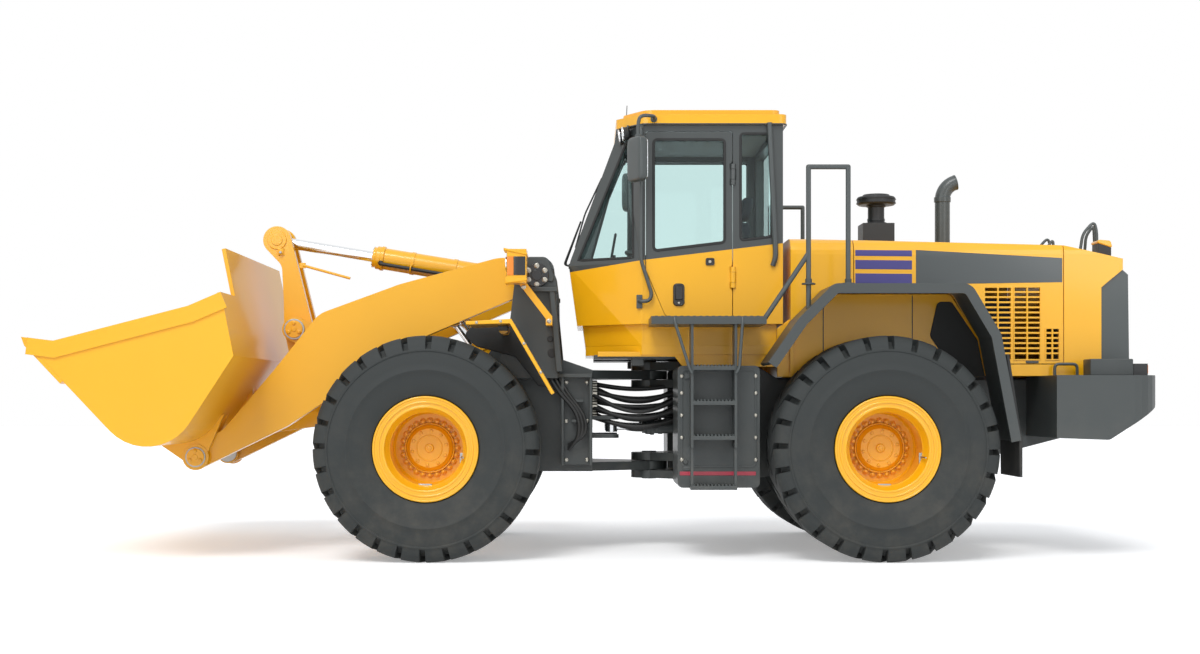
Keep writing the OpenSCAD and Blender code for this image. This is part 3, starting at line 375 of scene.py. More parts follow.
def tube(points: Sequence[Sequence[float]], radius: float, bend: float = 60.0, sides: int = 16) -> Patch:
    """Round bar or hose along a path with rounded corners.

    Args:
        points: Corner points of the path.
        radius: Radius of the bar.
        bend: Distance from a corner at which its bend starts.
        sides: Steps around the bar.

    Returns:
        The closed surface.
    """
    return swept(circle(radius, sides), smooth_path(points, bend))


def rod(a: Sequence[float], b: Sequence[float], radius: float, sides: int = 24,
        chamfer: float = 3.0) -> Patch:
    """Straight round bar between two points with chamfered ends.

    Args:
        a: First end.
        b: Second end.
        radius: Radius of the bar.
        sides: Steps around it.
        chamfer: Size of the end chamfers.

    Returns:
        The closed surface.
    """
    d = np.asarray(b, float) - np.asarray(a, float)
    n = float(np.linalg.norm(d))
    c = min(chamfer, n / 3, radius / 2)
    body = lathe([(radius - c, 0), (radius, c), (radius, n - c), (radius - c, n)], sides)
    return body.mapped(axes(d), a)


def stamped(part: Patch, places: np.ndarray, direction: Sequence[float]) -> Patch:
    """Repeats a surface modelled along +z at many places, all turned the same way.

    Args:
        part: Surface about the z axis.
        places: Array of points (n, 3).
        direction: Direction that +z turns into.

    Returns:
        One surface holding every copy.
    """
    places = np.asarray(places, float).reshape(-1, 3)
    turned = part.mapped(axes(direction))
    co = (places[:, None] + turned.co[None]).reshape(-1, 3)
    shift = np.arange(len(places)) * len(part.co)
    faces = [(f[None] + shift[:, None, None]).reshape(-1, f.shape[1]) for f in turned.faces]
    return Patch(co, faces)


def bolt(size: float, washer: bool = True) -> Patch:
    """Hexagon bolt head along +z on its washer.

    Args:
        size: Shank diameter in millimetres.
        washer: Puts a washer under the head.

    Returns:
        The surface of head and washer.
    """
    r, w = size * 0.9, 0.16 * size
    head = lathe([(r * 0.98, w), (r, w + 0.02 * size), (r, w + 0.5 * size), (r * 0.86, w + 0.62 * size)], 6)
    ring = lathe([(size * 1.15, -1), (size * 1.15, w * 0.8), (size * 1.08, w)], 24)
    return joined([head, ring]) if washer else head


def ring_of(count: int, radius: float, centre: Sequence[float], phase: float = 0.0) -> np.ndarray:
    """Places around a circle in the x-z plane.

    Args:
        count: Number of places.
        radius: Radius of the circle.
        centre: Its centre (x, y, z).
        phase: Turn of the first place in degrees.

    Returns:
        Array of places (count, 3).
    """
    t = np.radians(phase) + np.linspace(0, 2 * math.pi, count, endpoint=False)
    return np.asarray(centre, float) + radius * np.stack([np.cos(t), np.zeros(count), np.sin(t)], -1)


# Finishes


class Slot(Enum):
    """Material slots of the record."""

    YELLOW = "yellow_paint"
    DARK = "dark_paint"
    TYRE = "tyre"
    CHROME = "chrome_rod"
    STEEL = "pin_steel"
    GLASS = "tinted_glass"
    PLASTIC = "black_plastic"
    HOSE = "hose_rubber"
    LENS = "lamp_lens"
    CLOTH = "seat_cloth"
    IRON = "cast_iron"
    CYLINDER = "cylinder_paint"


def link_value(tree: bpy.types.NodeTree, value: object, target: bpy.types.NodeSocket) -> None:
    """Feeds a socket from another socket or a constant.

    Args:
        tree: Node tree of both.
        value: A socket, a number or a colour.
        target: Socket to feed.
    """
    if isinstance(value, bpy.types.NodeSocket):
        tree.links.new(value, target)
    else:
        target.default_value = value


class Nodes:
    """Short calls for the nodes of one tree."""

    def __init__(self, tree: bpy.types.NodeTree) -> None:
        self.tree = tree

    def new(self, kind: str, **inputs: object) -> bpy.types.Node:
        """Adds a node and feeds its inputs by name, with _ for a blank.

        Args:
            kind: Node type without the ShaderNode prefix.
            **inputs: Sockets or constants; a lower-case name sets a property.

        Returns:
            The node.
        """
        node = self.tree.nodes.new("ShaderNode" + kind)
        for key, value in inputs.items():
            if key[0].islower():
                setattr(node, key, value)
        for key, value in inputs.items():
            if not key[0].islower():
                link_value(self.tree, value, node.inputs[key.replace("_", " ")])
        return node

    def math(self, operation: str, a: object, b: object = 0.0, clamp: bool = False) -> bpy.types.NodeSocket:
        """Adds a math node.

        Args:
            operation: Name of the operation.
            a: First operand.
            b: Second operand.
            clamp: Keeps the value between 0 and 1.

        Returns:
            Its output.
        """
        node = self.tree.nodes.new("ShaderNodeMath")
        node.operation, node.use_clamp = operation, clamp
        link_value(self.tree, a, node.inputs[0])
        link_value(self.tree, b, node.inputs[1])
        return node.outputs[0]

    def mix(self, factor: object, a: object, b: object) -> bpy.types.NodeSocket:
        """Mixes two colours.

        Args:
            factor: Share of the second colour.
            a: First colour.
            b: Second colour.

        Returns:
            The mixed colour.
        """
        node = self.tree.nodes.new("ShaderNodeMix")
        node.data_type = "RGBA"
        link_value(self.tree, factor, node.inputs[0])
        link_value(self.tree, a, node.inputs[6])
        link_value(self.tree, b, node.inputs[7])
        return node.outputs[2]

    def ramp(self, value: object, low: float, high: float) -> bpy.types.NodeSocket:
        """Maps a value from low..high to 0..1 with soft ends.

        Args:
            value: Socket to map.
            low: Value that becomes 0.
            high: Value that becomes 1.

        Returns:
            The mapped value.
        """
        node = self.new("MapRange", interpolation_type="SMOOTHSTEP", Value=value, From_Min=low, From_Max=high)
        return node.outputs[0]

    def seen(self) -> bpy.types.NodeSocket:
        """Mask of the rays that show the surroundings: from the camera, in mirrors and through glass.

        Returns:
            The mask.
        """
        path = self.new("LightPath").outputs
        glass = self.math("MAXIMUM", path["Is Glossy Ray"], path["Is Transmission Ray"])
        return self.math("MAXIMUM", path["Is Camera Ray"], glass)


def node_group(name: str, inputs: dict[str, tuple[str, object]], outputs: dict[str, str],
               fill: Callable[[Nodes, dict[str, bpy.types.NodeSocket]], dict[str, object]]) -> bpy.types.NodeTree:
    """Makes a shader node group.

    Args:
        name: Name of the group.
        inputs: Name to (socket type, default).
        outputs: Name to socket type.
        fill: Builds the inside from the input sockets and returns the outputs by name.

    Returns:
        The group's tree.
    """
    tree = bpy.data.node_groups.new(name, "ShaderNodeTree")
    for key, (kind, default) in inputs.items():
        socket = tree.interface.new_socket(key, in_out="INPUT", socket_type="NodeSocket" + kind)
        if default is not None:
            socket.default_value = default
    for key, kind in outputs.items():
        tree.interface.new_socket(key, in_out="OUTPUT", socket_type="NodeSocket" + kind)
    start, end = tree.nodes.new("NodeGroupInput"), tree.nodes.new("NodeGroupOutput")
    result = fill(Nodes(tree), {key: start.outputs[key] for key in inputs})
    for key, value in result.items():
        link_value(tree, value, end.inputs[key])
    return tree


def fill_soft_edges(n: Nodes, i: dict[str, bpy.types.NodeSocket]) -> dict[str, object]:
    """Inside of the edge group: a rounded normal and a mask that is 1 on an edge.

    Args:
        n: Node helper.
        i: Input sockets.

    Returns:
        Output sockets by name.
    """
    bevel = n.new("Bevel", samples=6, Radius=i["Radius"])
    flat = n.new("NewGeometry")
    dot = n.new("VectorMath", operation="DOT_PRODUCT")
    n.tree.links.new(bevel.outputs[0], dot.inputs[0])
    n.tree.links.new(flat.outputs["Normal"], dot.inputs[1])
    noise = n.new("TexNoise", Vector=n.new("TexCoord").outputs["Object"], Scale=9.0, Detail=6.0,
                  Roughness=0.7)
    bent = n.ramp(n.math("SUBTRACT", 1.0, dot.outputs["Value"]), 0.01, 0.2)
    return {"Normal": bevel.outputs[0], "Edge": n.math("MULTIPLY", bent, n.ramp(noise.outputs[0], 0.42, 0.7))}


def fill_grain(n: Nodes, i: dict[str, bpy.types.NodeSocket]) -> dict[str, object]:
    """Inside of the grain group: a normal bumped by fine noise, and broad noise as a value.

    Args:
        n: Node helper.
        i: Input sockets.

    Returns:
        Output sockets by name.
    """
    place = n.new("TexCoord").outputs["Object"]
    fine = n.new("TexNoise", Vector=place, Scale=i["Scale"], Detail=3.0, Roughness=0.6)
    broad = n.new("TexNoise", Vector=place, Scale=1.6, Detail=4.0, Roughness=0.55)
    bump = n.new("Bump", Strength=i["Strength"], Distance=0.002, Height=fine.outputs[0], Normal=i["Normal"])
    return {"Normal": bump.outputs[0], "Cloud": broad.outputs[0]}


def fill_dust(n: Nodes, i: dict[str, bpy.types.NodeSocket]) -> dict[str, object]:
    """Inside of the dust group: more dust low on the machine and on faces that look up.

    Args:
        n: Node helper.
        i: Input sockets.

    Returns:
        Output sockets by name.
    """
    place = n.new("TexCoord").outputs["Object"]
    height = n.new("SeparateXYZ", Vector=place).outputs["Z"]
    facing = n.new("SeparateXYZ", Vector=n.new("NewGeometry").outputs["Normal"]).outputs["Z"]
    noise = n.new("TexNoise", Vector=place, Scale=5.0, Detail=7.0, Roughness=0.65)
    low = n.math("SUBTRACT", 1.0, n.ramp(height, 0.2, 1.5))
    top = n.math("MULTIPLY", n.ramp(facing, 0.4, 1.0), 0.5)
    share = n.math("MULTIPLY", n.math("ADD", low, top), n.ramp(noise.outputs[0], 0.35, 0.75))
    return {"Mask": n.math("MULTIPLY", share, i["Amount"], clamp=True)}


class Groups:
    """The shader groups that every finish shares."""

    def __init__(self) -> None:
        normal = ("Vector", None)
        self.edges = node_group("soft_edges", {"Radius": ("Float", 0.004)},
                                {"Normal": "Vector", "Edge": "Float"}, fill_soft_edges)
        self.grain = node_group("grain", {"Scale": ("Float", 300.0), "Strength": ("Float", 0.1),
                                          "Normal": normal},
                                {"Normal": "Vector", "Cloud": "Float"}, fill_grain)
        self.dust = node_group("dust", {"Amount": ("Float", 0.1)}, {"Mask": "Float"}, fill_dust)


@dataclass(frozen=True)
class Finish:
    """One finish: colours are linear, sizes in metres. The edge colour is wear where it is darker than the paint,
    as on the bucket, and a painted edge highlight where it is lighter.
    """

    name: str
    slot: Slot
    colour: tuple[float, float, float]
    roughness: float = 0.5
    metallic: float = 0.0
    coat: float = 0.0
    grain: float = 300.0
    bump: float = 0.1
    dust: float = 0.1
    edge_scuffs_and_highlight: float = 0.0
    edge_scuffs_and_highlight_colour: tuple[float, float, float] = (0.3, 0.3, 0.3)
    edge: float = 0.005
    shade: float = 0.06
    transmission: float = 0.0
    alpha: float = 1.0
    glow: float = 0.0
    second: tuple[float, float, float] | None = None
    waist: tuple[float, float, float] | None = None

    def colour_socket(self, n: Nodes, cloud: bpy.types.NodeSocket) -> object:
        """Base colour with faint broad variation and, if set, a second colour above the cab's waist line.

        Args:
            n: Node helper.
            cloud: Broad noise value.

        Returns:
            Colour socket.
        """
        base: object = (*self.colour, 1.0)
        if self.second is not None and self.waist is not None:
            place = n.new("SeparateXYZ", Vector=n.new("TexCoord").outputs["Object"])
            x0, z0, slope = self.waist
            line = n.math("ADD", n.math("MULTIPLY", place.outputs["X"], slope), z0 - x0 * slope)
            above = n.math("GREATER_THAN", place.outputs["Z"], line)
            base = n.mix(above, base, (*self.second, 1.0))
        darker = n.new("HueSaturation", Value=1.0 - self.shade, Color=base)
        return n.mix(cloud, darker.outputs[0], base)

    def build(self, groups: Groups) -> bpy.types.Material:
        """Makes the material.

        Args:
            groups: Shared shader groups.

        Returns:
            The material.
        """
        material = bpy.data.materials.new(self.name)
        material.use_nodes = True
        tree = material.node_tree
        n = Nodes(tree)
        shader = tree.nodes["Principled BSDF"]
        edges, grain, dust = (n.new("Group", node_tree=g) for g in (groups.edges, groups.grain, groups.dust))
        edges.inputs["Radius"].default_value = self.edge
        grain.inputs["Scale"].default_value = self.grain
        grain.inputs["Strength"].default_value = self.bump
        dust.inputs["Amount"].default_value = self.dust
        tree.links.new(edges.outputs["Normal"], grain.inputs["Normal"])
        colour = self.colour_socket(n, grain.outputs["Cloud"])
        # Edge colour on the soft-edge mask: wear on the bucket, and a painted highlight along edges on finishes
        # whose edge colour is lighter than the paint.
        if self.edge_scuffs_and_highlight > 0:
            share = n.math("MULTIPLY", edges.outputs["Edge"], self.edge_scuffs_and_highlight)
            colour = n.mix(share, colour, (*self.edge_scuffs_and_highlight_colour, 1.0))
        colour = n.mix(dust.outputs["Mask"], colour, (0.33, 0.29, 0.23, 1.0))
        tree.links.new(colour, shader.inputs["Base Color"])
        rough = n.math("ADD", n.math("MULTIPLY", grain.outputs["Cloud"], 0.1), self.roughness - 0.05)
        rough = n.math("ADD", rough, n.math("MULTIPLY", dust.outputs["Mask"], 0.5), clamp=True)
        tree.links.new(rough, shader.inputs["Roughness"])
        tree.links.new(grain.outputs["Normal"], shader.inputs["Normal"])
        shader.inputs["Metallic"].default_value = self.metallic
        shader.inputs["Coat Weight"].default_value = self.coat
        shader.inputs["Coat Roughness"].default_value = 0.12
        shader.inputs["Transmission Weight"].default_value = self.transmission
        shader.inputs["Alpha"].default_value = self.alpha
        if self.glow > 0:
            shader.inputs["Emission Color"].default_value = (*self.colour, 1.0)
            shader.inputs["Emission Strength"].default_value = self.glow
        return material


YELLOW = (0.93, 0.46, 0.004)
DARK = (0.047, 0.055, 0.055)


def waist_line() -> tuple[float, float, float]:
    """Line on the cab where yellow panels end and the dark window frame starts.

    Returns:
        A point (x, z) of the line in metres and its slope.
    """
    return AXLE_X + 1.057, 2.247, 0.1205


# Edge colours lighter than the paint (yellow, barrel, dark, satin, cylinder) paint a highlight along edges; the
# bucket's darker edge colour is wear.
FINISHES = (
    Finish("yellow", Slot.YELLOW, YELLOW, roughness=0.33, coat=0.5, grain=260.0, bump=0.04, dust=0.05,
           edge_scuffs_and_highlight=0.06,
           edge_scuffs_and_highlight_colour=(0.97, 0.6, 0.1)),
    Finish("bucket", Slot.YELLOW, YELLOW, roughness=0.4, coat=0.35, grain=200.0, bump=0.06, dust=0.07,
           edge_scuffs_and_highlight=0.25,
           edge_scuffs_and_highlight_colour=(0.32, 0.28, 0.22)),
    Finish("cab", Slot.YELLOW, YELLOW, roughness=0.36, coat=0.4, grain=260.0, bump=0.04, dust=0.03,
           second=DARK,
           waist=waist_line()),
    Finish("dark", Slot.DARK, DARK, roughness=0.46, coat=0.15, grain=240.0, bump=0.08, dust=0.14, edge_scuffs_and_highlight=0.1,
           edge_scuffs_and_highlight_colour=(0.12, 0.13, 0.13)),
    Finish("satin", Slot.DARK, (0.058, 0.069, 0.069), roughness=0.42, coat=0.2, grain=240.0, bump=0.05,
           dust=0.05,
           edge_scuffs_and_highlight=0.08, edge_scuffs_and_highlight_colour=(0.16, 0.17, 0.17)),
    Finish("iron", Slot.IRON, (0.03, 0.034, 0.034), roughness=0.6, grain=120.0, bump=0.35, dust=0.3,
           shade=0.2),
    Finish("cylinder", Slot.DARK, (0.042, 0.05, 0.05), roughness=0.4, coat=0.2, bump=0.05, dust=0.08,
           edge_scuffs_and_highlight=0.08,
           edge_scuffs_and_highlight_colour=(0.14, 0.15, 0.15)),
    Finish("barrel", Slot.CYLINDER, YELLOW, roughness=0.33, coat=0.4, grain=260.0, bump=0.04, dust=0.05,
           edge_scuffs_and_highlight=0.06,
           edge_scuffs_and_highlight_colour=(0.97, 0.6, 0.1)),
    Finish("rubber", Slot.TYRE, (0.024, 0.029, 0.029), roughness=0.72, grain=180.0, bump=0.3, dust=0.1,
           shade=0.25,
           edge=0.004),
    Finish("flap", Slot.HOSE, (0.012, 0.013, 0.013), roughness=0.65, grain=150.0, bump=0.2, dust=0.15),
    Finish("hose", Slot.HOSE, (0.013, 0.014, 0.014), roughness=0.5, grain=500.0, bump=0.25, dust=0.1),
    Finish("chrome", Slot.CHROME, (0.8, 0.82, 0.84), roughness=0.12, metallic=1.0, grain=900.0, bump=0.01,
           dust=0.0,
           shade=0.03),
    Finish("steel", Slot.STEEL, (0.42, 0.42, 0.41), roughness=0.38, metallic=1.0, grain=400.0, bump=0.1,
           dust=0.1),
    Finish("zinc", Slot.STEEL, (0.5, 0.48, 0.42), roughness=0.35, metallic=1.0, grain=500.0, bump=0.08,
           dust=0.05),
    Finish("plastic", Slot.PLASTIC, (0.018, 0.019, 0.02), roughness=0.48, grain=420.0, bump=0.25, dust=0.05),
    Finish("gloss", Slot.PLASTIC, (0.012, 0.012, 0.013), roughness=0.2, coat=0.5, bump=0.02, dust=0.02),
    Finish("trim", Slot.PLASTIC, (0.1, 0.105, 0.11), roughness=0.6, grain=500.0, bump=0.3, dust=0.02),
    Finish("cloth", Slot.CLOTH, (0.035, 0.042, 0.055), roughness=0.9, grain=1400.0, bump=0.6, dust=0.0,
           shade=0.25),
    Finish("vinyl", Slot.CLOTH, (0.02, 0.021, 0.023), roughness=0.55, grain=700.0, bump=0.35, dust=0.0),
    Finish("stripe", Slot.YELLOW, (0.043, 0.036, 0.22), roughness=0.3, coat=0.4, bump=0.02, dust=0.02),
    Finish("strip", Slot.DARK, (0.053, 0.064, 0.066), roughness=0.3, coat=0.4, bump=0.02, dust=0.02),
    Finish("clear", Slot.LENS, (0.86, 0.88, 0.9), roughness=0.12, coat=0.8, grain=60.0, bump=0.25, dust=0.0),
    Finish("amber", Slot.LENS, (0.9, 0.24, 0.01), roughness=0.18, coat=0.8, grain=60.0, bump=0.25, dust=0.0,
           glow=0.08),
    Finish("red", Slot.LENS, (0.5, 0.01, 0.012), roughness=0.18, coat=0.8, grain=60.0, bump=0.25, dust=0.0),
    Finish("red_strip", Slot.LENS, (0.4, 0.02, 0.05), roughness=0.35, coat=0.3, bump=0.05, dust=0.15),
    Finish("mirror", Slot.CHROME, (0.9, 0.92, 0.93), roughness=0.03, metallic=1.0, bump=0.0, dust=0.0,
           shade=0.0),
    # Near-black rough finish for the exhaust's mouth: soot, and painted shade standing in for the inside of the
    # open pipe.
    Finish("void", Slot.PLASTIC, (0.02, 0.016, 0.01), roughness=0.8, bump=0.1, dust=0.0),
)


def tinted_pane() -> bpy.types.Material:
    """Thin tinted pane: a tinted clear shader under a mirror-like coat that grows at grazing angles.

    Returns:
        The material.
    """
    material = bpy.data.materials.new("tinted_pane")
    material.use_nodes = True
    tree = material.node_tree
    n = Nodes(tree)
    tree.nodes.remove(tree.nodes["Principled BSDF"])
    out = tree.nodes["Material Output"]
    clear = n.new("BsdfTransparent", Color=(0.87, 0.945, 0.94, 1.0))
    shine = n.new("BsdfGlossy", Color=(0.9, 0.97, 0.97, 1.0), Roughness=0.02)
    outside = n.math("SUBTRACT", 1.0, n.new("NewGeometry").outputs["Backfacing"])
    share = n.math("MULTIPLY", n.new("Fresnel", IOR=1.5).outputs[0], outside)
    mixed = n.new("MixShader", Fac=share)
    tree.links.new(clear.outputs[0], mixed.inputs[1])
    tree.links.new(shine.outputs[0], mixed.inputs[2])
    tree.links.new(mixed.outputs[0], out.inputs["Surface"])
    return material


class Paints:
    """Every finish of the machine, made once."""

    def __init__(self) -> None:
        groups = Groups()
        self.materials = {finish.name: finish.build(groups) for finish in FINISHES}
        self.slots = {finish.name: finish.slot for finish in FINISHES}
        self.materials["glass"], self.slots["glass"] = tinted_pane(), Slot.GLASS

    def put(self, obj: bpy.types.Object, finish: str) -> None:
        """Gives an object one finish.

        Args:
            obj: Mesh object.
            finish: Name of the finish.
        """
        obj.data.materials.clear()
        obj.data.materials.append(self.materials[finish])


class Workshop:
    """Makes objects from surfaces, gives them a finish and hangs them on their body."""

    def __init__(self, paints: Paints) -> None:
        self.paints = paints
        self.count = 0

    def mesh(self, name: str, part: Patch, angle: float) -> bpy.types.Mesh:
        """Turns a surface into a mesh in metres.

        Args:
            name: Name of the mesh.
            part: Surface in millimetres.
            angle: Edges sharper than this many degrees stay sharp.

        Returns:
            The mesh.
        """
        co = part.co * 0.001 + np.array([AXLE_X, 0.0, 0.0])
        mesh = bpy.data.meshes.new(name)
        sizes = np.concatenate([np.full(len(f), f.shape[1]) for f in part.faces])
        loops = np.concatenate([f.ravel() for f in part.faces])
        mesh.vertices.add(len(co))
        mesh.vertices.foreach_set("co", co.astype(np.float32).ravel())
        mesh.loops.add(len(loops))
        mesh.loops.foreach_set("vertex_index", loops.astype(np.int32))
        mesh.polygons.add(len(sizes))
        mesh.polygons.foreach_set("loop_start", np.concatenate([[0], np.cumsum(sizes)[:-1]]).astype(np.int32))
        mesh.update(calc_edges=True)
        mesh.validate()
        mesh.shade_smooth()
        mesh.set_sharp_from_angle(angle=math.radians(angle))
        return mesh

    def add(self, name: str, part: Patch, finish: str, body: str | None, angle: float = 32.0,
            stands_for: Sequence[str] = ()) -> bpy.types.Object:
        """Adds one piece.

        Args:
            name: Name of the object.
            part: Its surface in millimetres.
            finish: Name of one of the paints.
            body: CAD body it moves with, or None to leave it on no body.
            angle: Edges sharper than this many degrees stay sharp.
            stands_for: CAD nodes that it replaces.

        Returns:
            The object.
        """
        obj = bpy.data.objects.new(name, self.mesh(name, part, angle))
        bpy.context.scene.collection.objects.link(obj)
        if stands_for:
            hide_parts(*stands_for)
        self.paints.put(obj, finish)
        if body is not None:
            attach(obj, body)
        self.count += 1
        LOG.info("added %s in %s", name, finish)
        return obj

    def paint(self, finish: str, *nodes: str) -> None:
        """Gives CAD nodes a finish.

        Args:
            finish: Name of one of the paints.
            *nodes: Names of the nodes.
        """
        for name in nodes:
            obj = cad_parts[name]
            self.paints.put(obj, finish)
            obj.data.set_sharp_from_angle(angle=math.radians(30))
            LOG.info("painted %s as %s", name, finish)


# Wheels


@dataclass(frozen=True)
class Wheel:
    """One wheel: the tyre's surface with its lugs, and the rim's bolts."""

    radius: float = 850.0
    half: float = 337.5
    lugs: int = 28
    groove: float = 0.26
    depth: float = 46.0
    side_y: float = 1150.0
    bolt_ring: float = 207.0
    bolt_count: int = 24
    hub_face: float = -80.0

    def profiles(self) -> tuple[np.ndarray, np.ndarray]:
        """Half outlines from the bead to the tread's middle, over a lug and in a groove.

        Returns:
            Two arrays of points (r, h).
        """
        r, w = self.radius, self.half
        side = [(398, 270), (404, 292), (424, 303), (470, 318), (530, 330), (583, w - 1), (589, w + 3),
                (596, w + 3),
                (602, w - 2), (650, w - 4), (690, w - 9), (726, w - 15), (732, w - 9), (741, w - 9), (748,
                                                                                                      w - 17)]
        lug = side + [(765, w - 20), (800, w - 32), (r - 24, w - 50), (r - 6, w - 72), (r, w - 95), (r, 170),
                      (r, 100),
                      (r, 46), (r, 40), (r, 26), (r, 12), (r, 0)]
        d = self.depth
        bed = side + [(752, w - 44), (770, w - 68), (r - 24 - d, w - 92), (r - d, w - 118), (r - d, w - 130),
                      (r - d, 170),
                      (r - d, 100), (r - d, 46), (r - 3, 40), (r, 26), (r, 12), (r, 0)]
        return np.array(lug, float), np.array(bed, float)

    def tyre(self) -> Patch:
        """Tyre about z, p(t, s) = mix(lug(s), bed(s), mask(t)) turned by t + lean(s).

        The lugs of the two shoulders are half a pitch apart and lean towards the middle.

        Returns:
            The ring-shaped surface with the outer face towards +z.
        """
        lug, bed = self.profiles()
        lug = np.concatenate([lug, lug[-2::-1] * [1, -1]])
        bed = np.concatenate([bed, bed[-2::-1] * [1, -1]])
        g = self.groove
        part = np.array([0, 0.04, 0.2, 0.4, 0.6, 0.96, 1.0]) * (1 - g)
        cut = (1 - g) + g * np.array([0.14, 0.5, 0.86])
        pitch = np.concatenate([part, cut])
        mask = np.concatenate([np.ones(len(part)), np.zeros(len(cut))])
        t = (np.arange(self.lugs)[:, None] + pitch[None]).ravel() / self.lugs * 2 * math.pi
        mask = np.tile(mask, self.lugs)[:, None]
        r = lug[None, :, 0] * mask + bed[None, :, 0] * (1 - mask)
        h = lug[None, :, 1] * mask + bed[None, :, 1] * (1 - mask)
        step = 2 * math.pi / self.lugs
        s = lug[:, 1]
        lean = step * (0.5 * (s < 0) + 0.75 * np.clip(1 - np.abs(s) / (self.half - 90), 0, 1))
        lean = np.where(lug[:, 0] < 740, 0.0, lean)
        a = t[:, None] + lean[None]
        return grid(np.stack([r * np.cos(a), r * np.sin(a), h], -1), wrap_u=True, wrap_v=True).outward()

    def place(self, part: Patch, x: float, side: float) -> Patch:
        """Puts a surface modelled about z, outer face up, on a wheel's place.

        Args:
            part: Surface about the z axis.
            x: Axle's place along the machine.
            side: -1 for the left, +1 for the right.

        Returns:
            The placed surface.
        """
        turn = np.array([[1.0, 0, 0], [0, 0, side], [0, -side, 0]])
        return part.mapped(turn, (x, side * self.side_y, self.radius))

    def rim_rings(self) -> Patch:
        """Lock ring and flange rings of the rim.

        Returns:
            The surface about z.
        """
        def hoop(r: float, h: float, a: float, b: float) -> Patch:
            t = np.linspace(0, 2 * math.pi, 12, endpoint=False)
            return lathe(np.column_stack([r + a * np.cos(t), h + b * np.sin(t)]), 96, loop=True)
        return joined([hoop(388, 297, 9, 8), hoop(352, 296, 8, 5), hoop(318, 287, 10, 6),
                       hoop(281, 208, 7, 9),
                       hoop(186, -52, 6, 8), hoop(96, -20, 5, 5)])

    def bolts(self) -> Patch:
        """Wheel nuts, hub cover screws and the plug in the middle.

        Returns:
            The surface about z.
        """
        t = np.linspace(0, 2 * math.pi, self.bolt_count, endpoint=False)
        nuts = np.column_stack([self.bolt_ring * np.cos(t), self.bolt_ring * np.sin(t),
                                np.full(len(t), self.hub_face)])
        nut = joined([bolt(24), lathe([(12, 10), (12, 30), (9, 34)], 16)])
        t = np.linspace(0, 2 * math.pi, 10, endpoint=False) + 0.2
        screws = np.column_stack([132 * np.cos(t), 132 * np.sin(t), np.full(len(t), self.hub_face + 60.0)])
        plug = lathe([(34, -21), (34, -10), (28, -4), (16, -4), (16, 4), (12, 6)], 24)
        return joined([stamped(nut, nuts, (0, 0, 1)), stamped(bolt(12), screws, (0, 0, 1)), plug])

    def valve(self) -> Patch:
        """Valve stem with its clip between dish and lock ring.

        Returns:
            The surface about z.
        """
        stem = tube([(262, -60, 150), (262, -60, 240), (282, -64, 300)], 6, 30, 10)
        clip = joined([block((250, -110, 196), (276, -30, 204), 2),
                       block((-60, -276, 196), (40, -262, 210), 3)])
        return joined([stem, clip])

    def build(self, shop: Workshop) -> None:
        """Adds the four wheels.

        Args:
            shop: Workshop that makes the pieces.
        """
        tyre, rings, nuts, stem = self.tyre(), self.rim_rings(), self.bolts(), self.valve()
        for end, x in (("front", 0.0), ("rear", 3450.0)):
            for name, side in SIDES.items():
                body = f"wheel_{end}_{name}"
                shop.add(f"tyre_surface_{end}_{name}", self.place(tyre, x, side), "rubber", body, 40,
                         [f"tyre_{end}_{name}"])
                shop.add(f"rim_rings_{end}_{name}", self.place(rings, x, side), "yellow", body)
                shop.add(f"rim_nuts_{end}_{name}", self.place(nuts, x, side), "yellow", body)
                shop.add(f"valve_{end}_{name}", self.place(stem, x, side), "steel", body)


# Shared small pieces


def loop_strip(loop: np.ndarray, normal: Sequence[float], wide: float, thick: float) -> Patch:
    """Flat rubber or metal strip along a closed loop: p(i, j) = loop(i) + u(j) side(i) + v(j) normal.

    Args:
        loop: Points of the loop.
        normal: Direction the strip's thickness points in.
        wide: Width across the loop.
        thick: Thickness along the normal, half of it below the loop.

    Returns:
        The closed ring.
    """
    n = np.asarray(normal, float) / np.linalg.norm(normal)
    tangent = np.roll(loop, -1, 0) - np.roll(loop, 1, 0)
    tangent -= n * (tangent @ n)[:, None]
    tangent /= np.linalg.norm(tangent, axis=1, keepdims=True)
    side = np.cross(tangent, n)
    w, t, c = wide / 2, thick / 2, min(wide, thick) * 0.25
    section = np.array([(-w, -t), (w, -t), (w, t - c), (w - c, t), (c - w, t), (-w, t - c)])
    pts = loop[:, None] + section[None, :, :1] * side[:, None] + section[None, :, 1:] * n
    return grid(pts, wrap_u=True, wrap_v=True).outward()


def at_y(outline: np.ndarray, y: float) -> np.ndarray:
    """Puts an outline (x, z) at a place across the machine.

    Args:
        outline: Points in the x-z plane.
        y: Place across the machine.

    Returns:
        Points in space.
    """
    return np.column_stack([outline[:, 0], np.full(len(outline), y), outline[:, 1]])


def frame_plate(outline: np.ndarray, wide: float, y0: float, y1: float) -> Patch:
    """Flat frame between an outline (x, z) and the same outline taken in.

    Args:
        outline: Outer outline.
        wide: Width of the frame.
        y0: One face.
        y1: The other face.

    Returns:
        The closed frame.
    """
    inner = inset(outline, wide)
    rows = [at_y(outline, y0), at_y(outline, y1), at_y(inner, y1), at_y(inner, y0)]
    return grid(np.stack(rows), wrap_u=True, wrap_v=True).outward()


def rounded_box(x0: float, z0: float, x1: float, z1: float, r: float) -> np.ndarray:
    """Rectangle (x, z) with rounded corners.

    Args:
        x0: Left side.
        z0: Lower side.
        x1: Right side.
        z1: Upper side.
        r: Corner radius.

    Returns:
        Its outline.
    """
    return round_corners([(x0, z0, r), (x1, z0, r), (x1, z1, r), (x0, z1, r)])


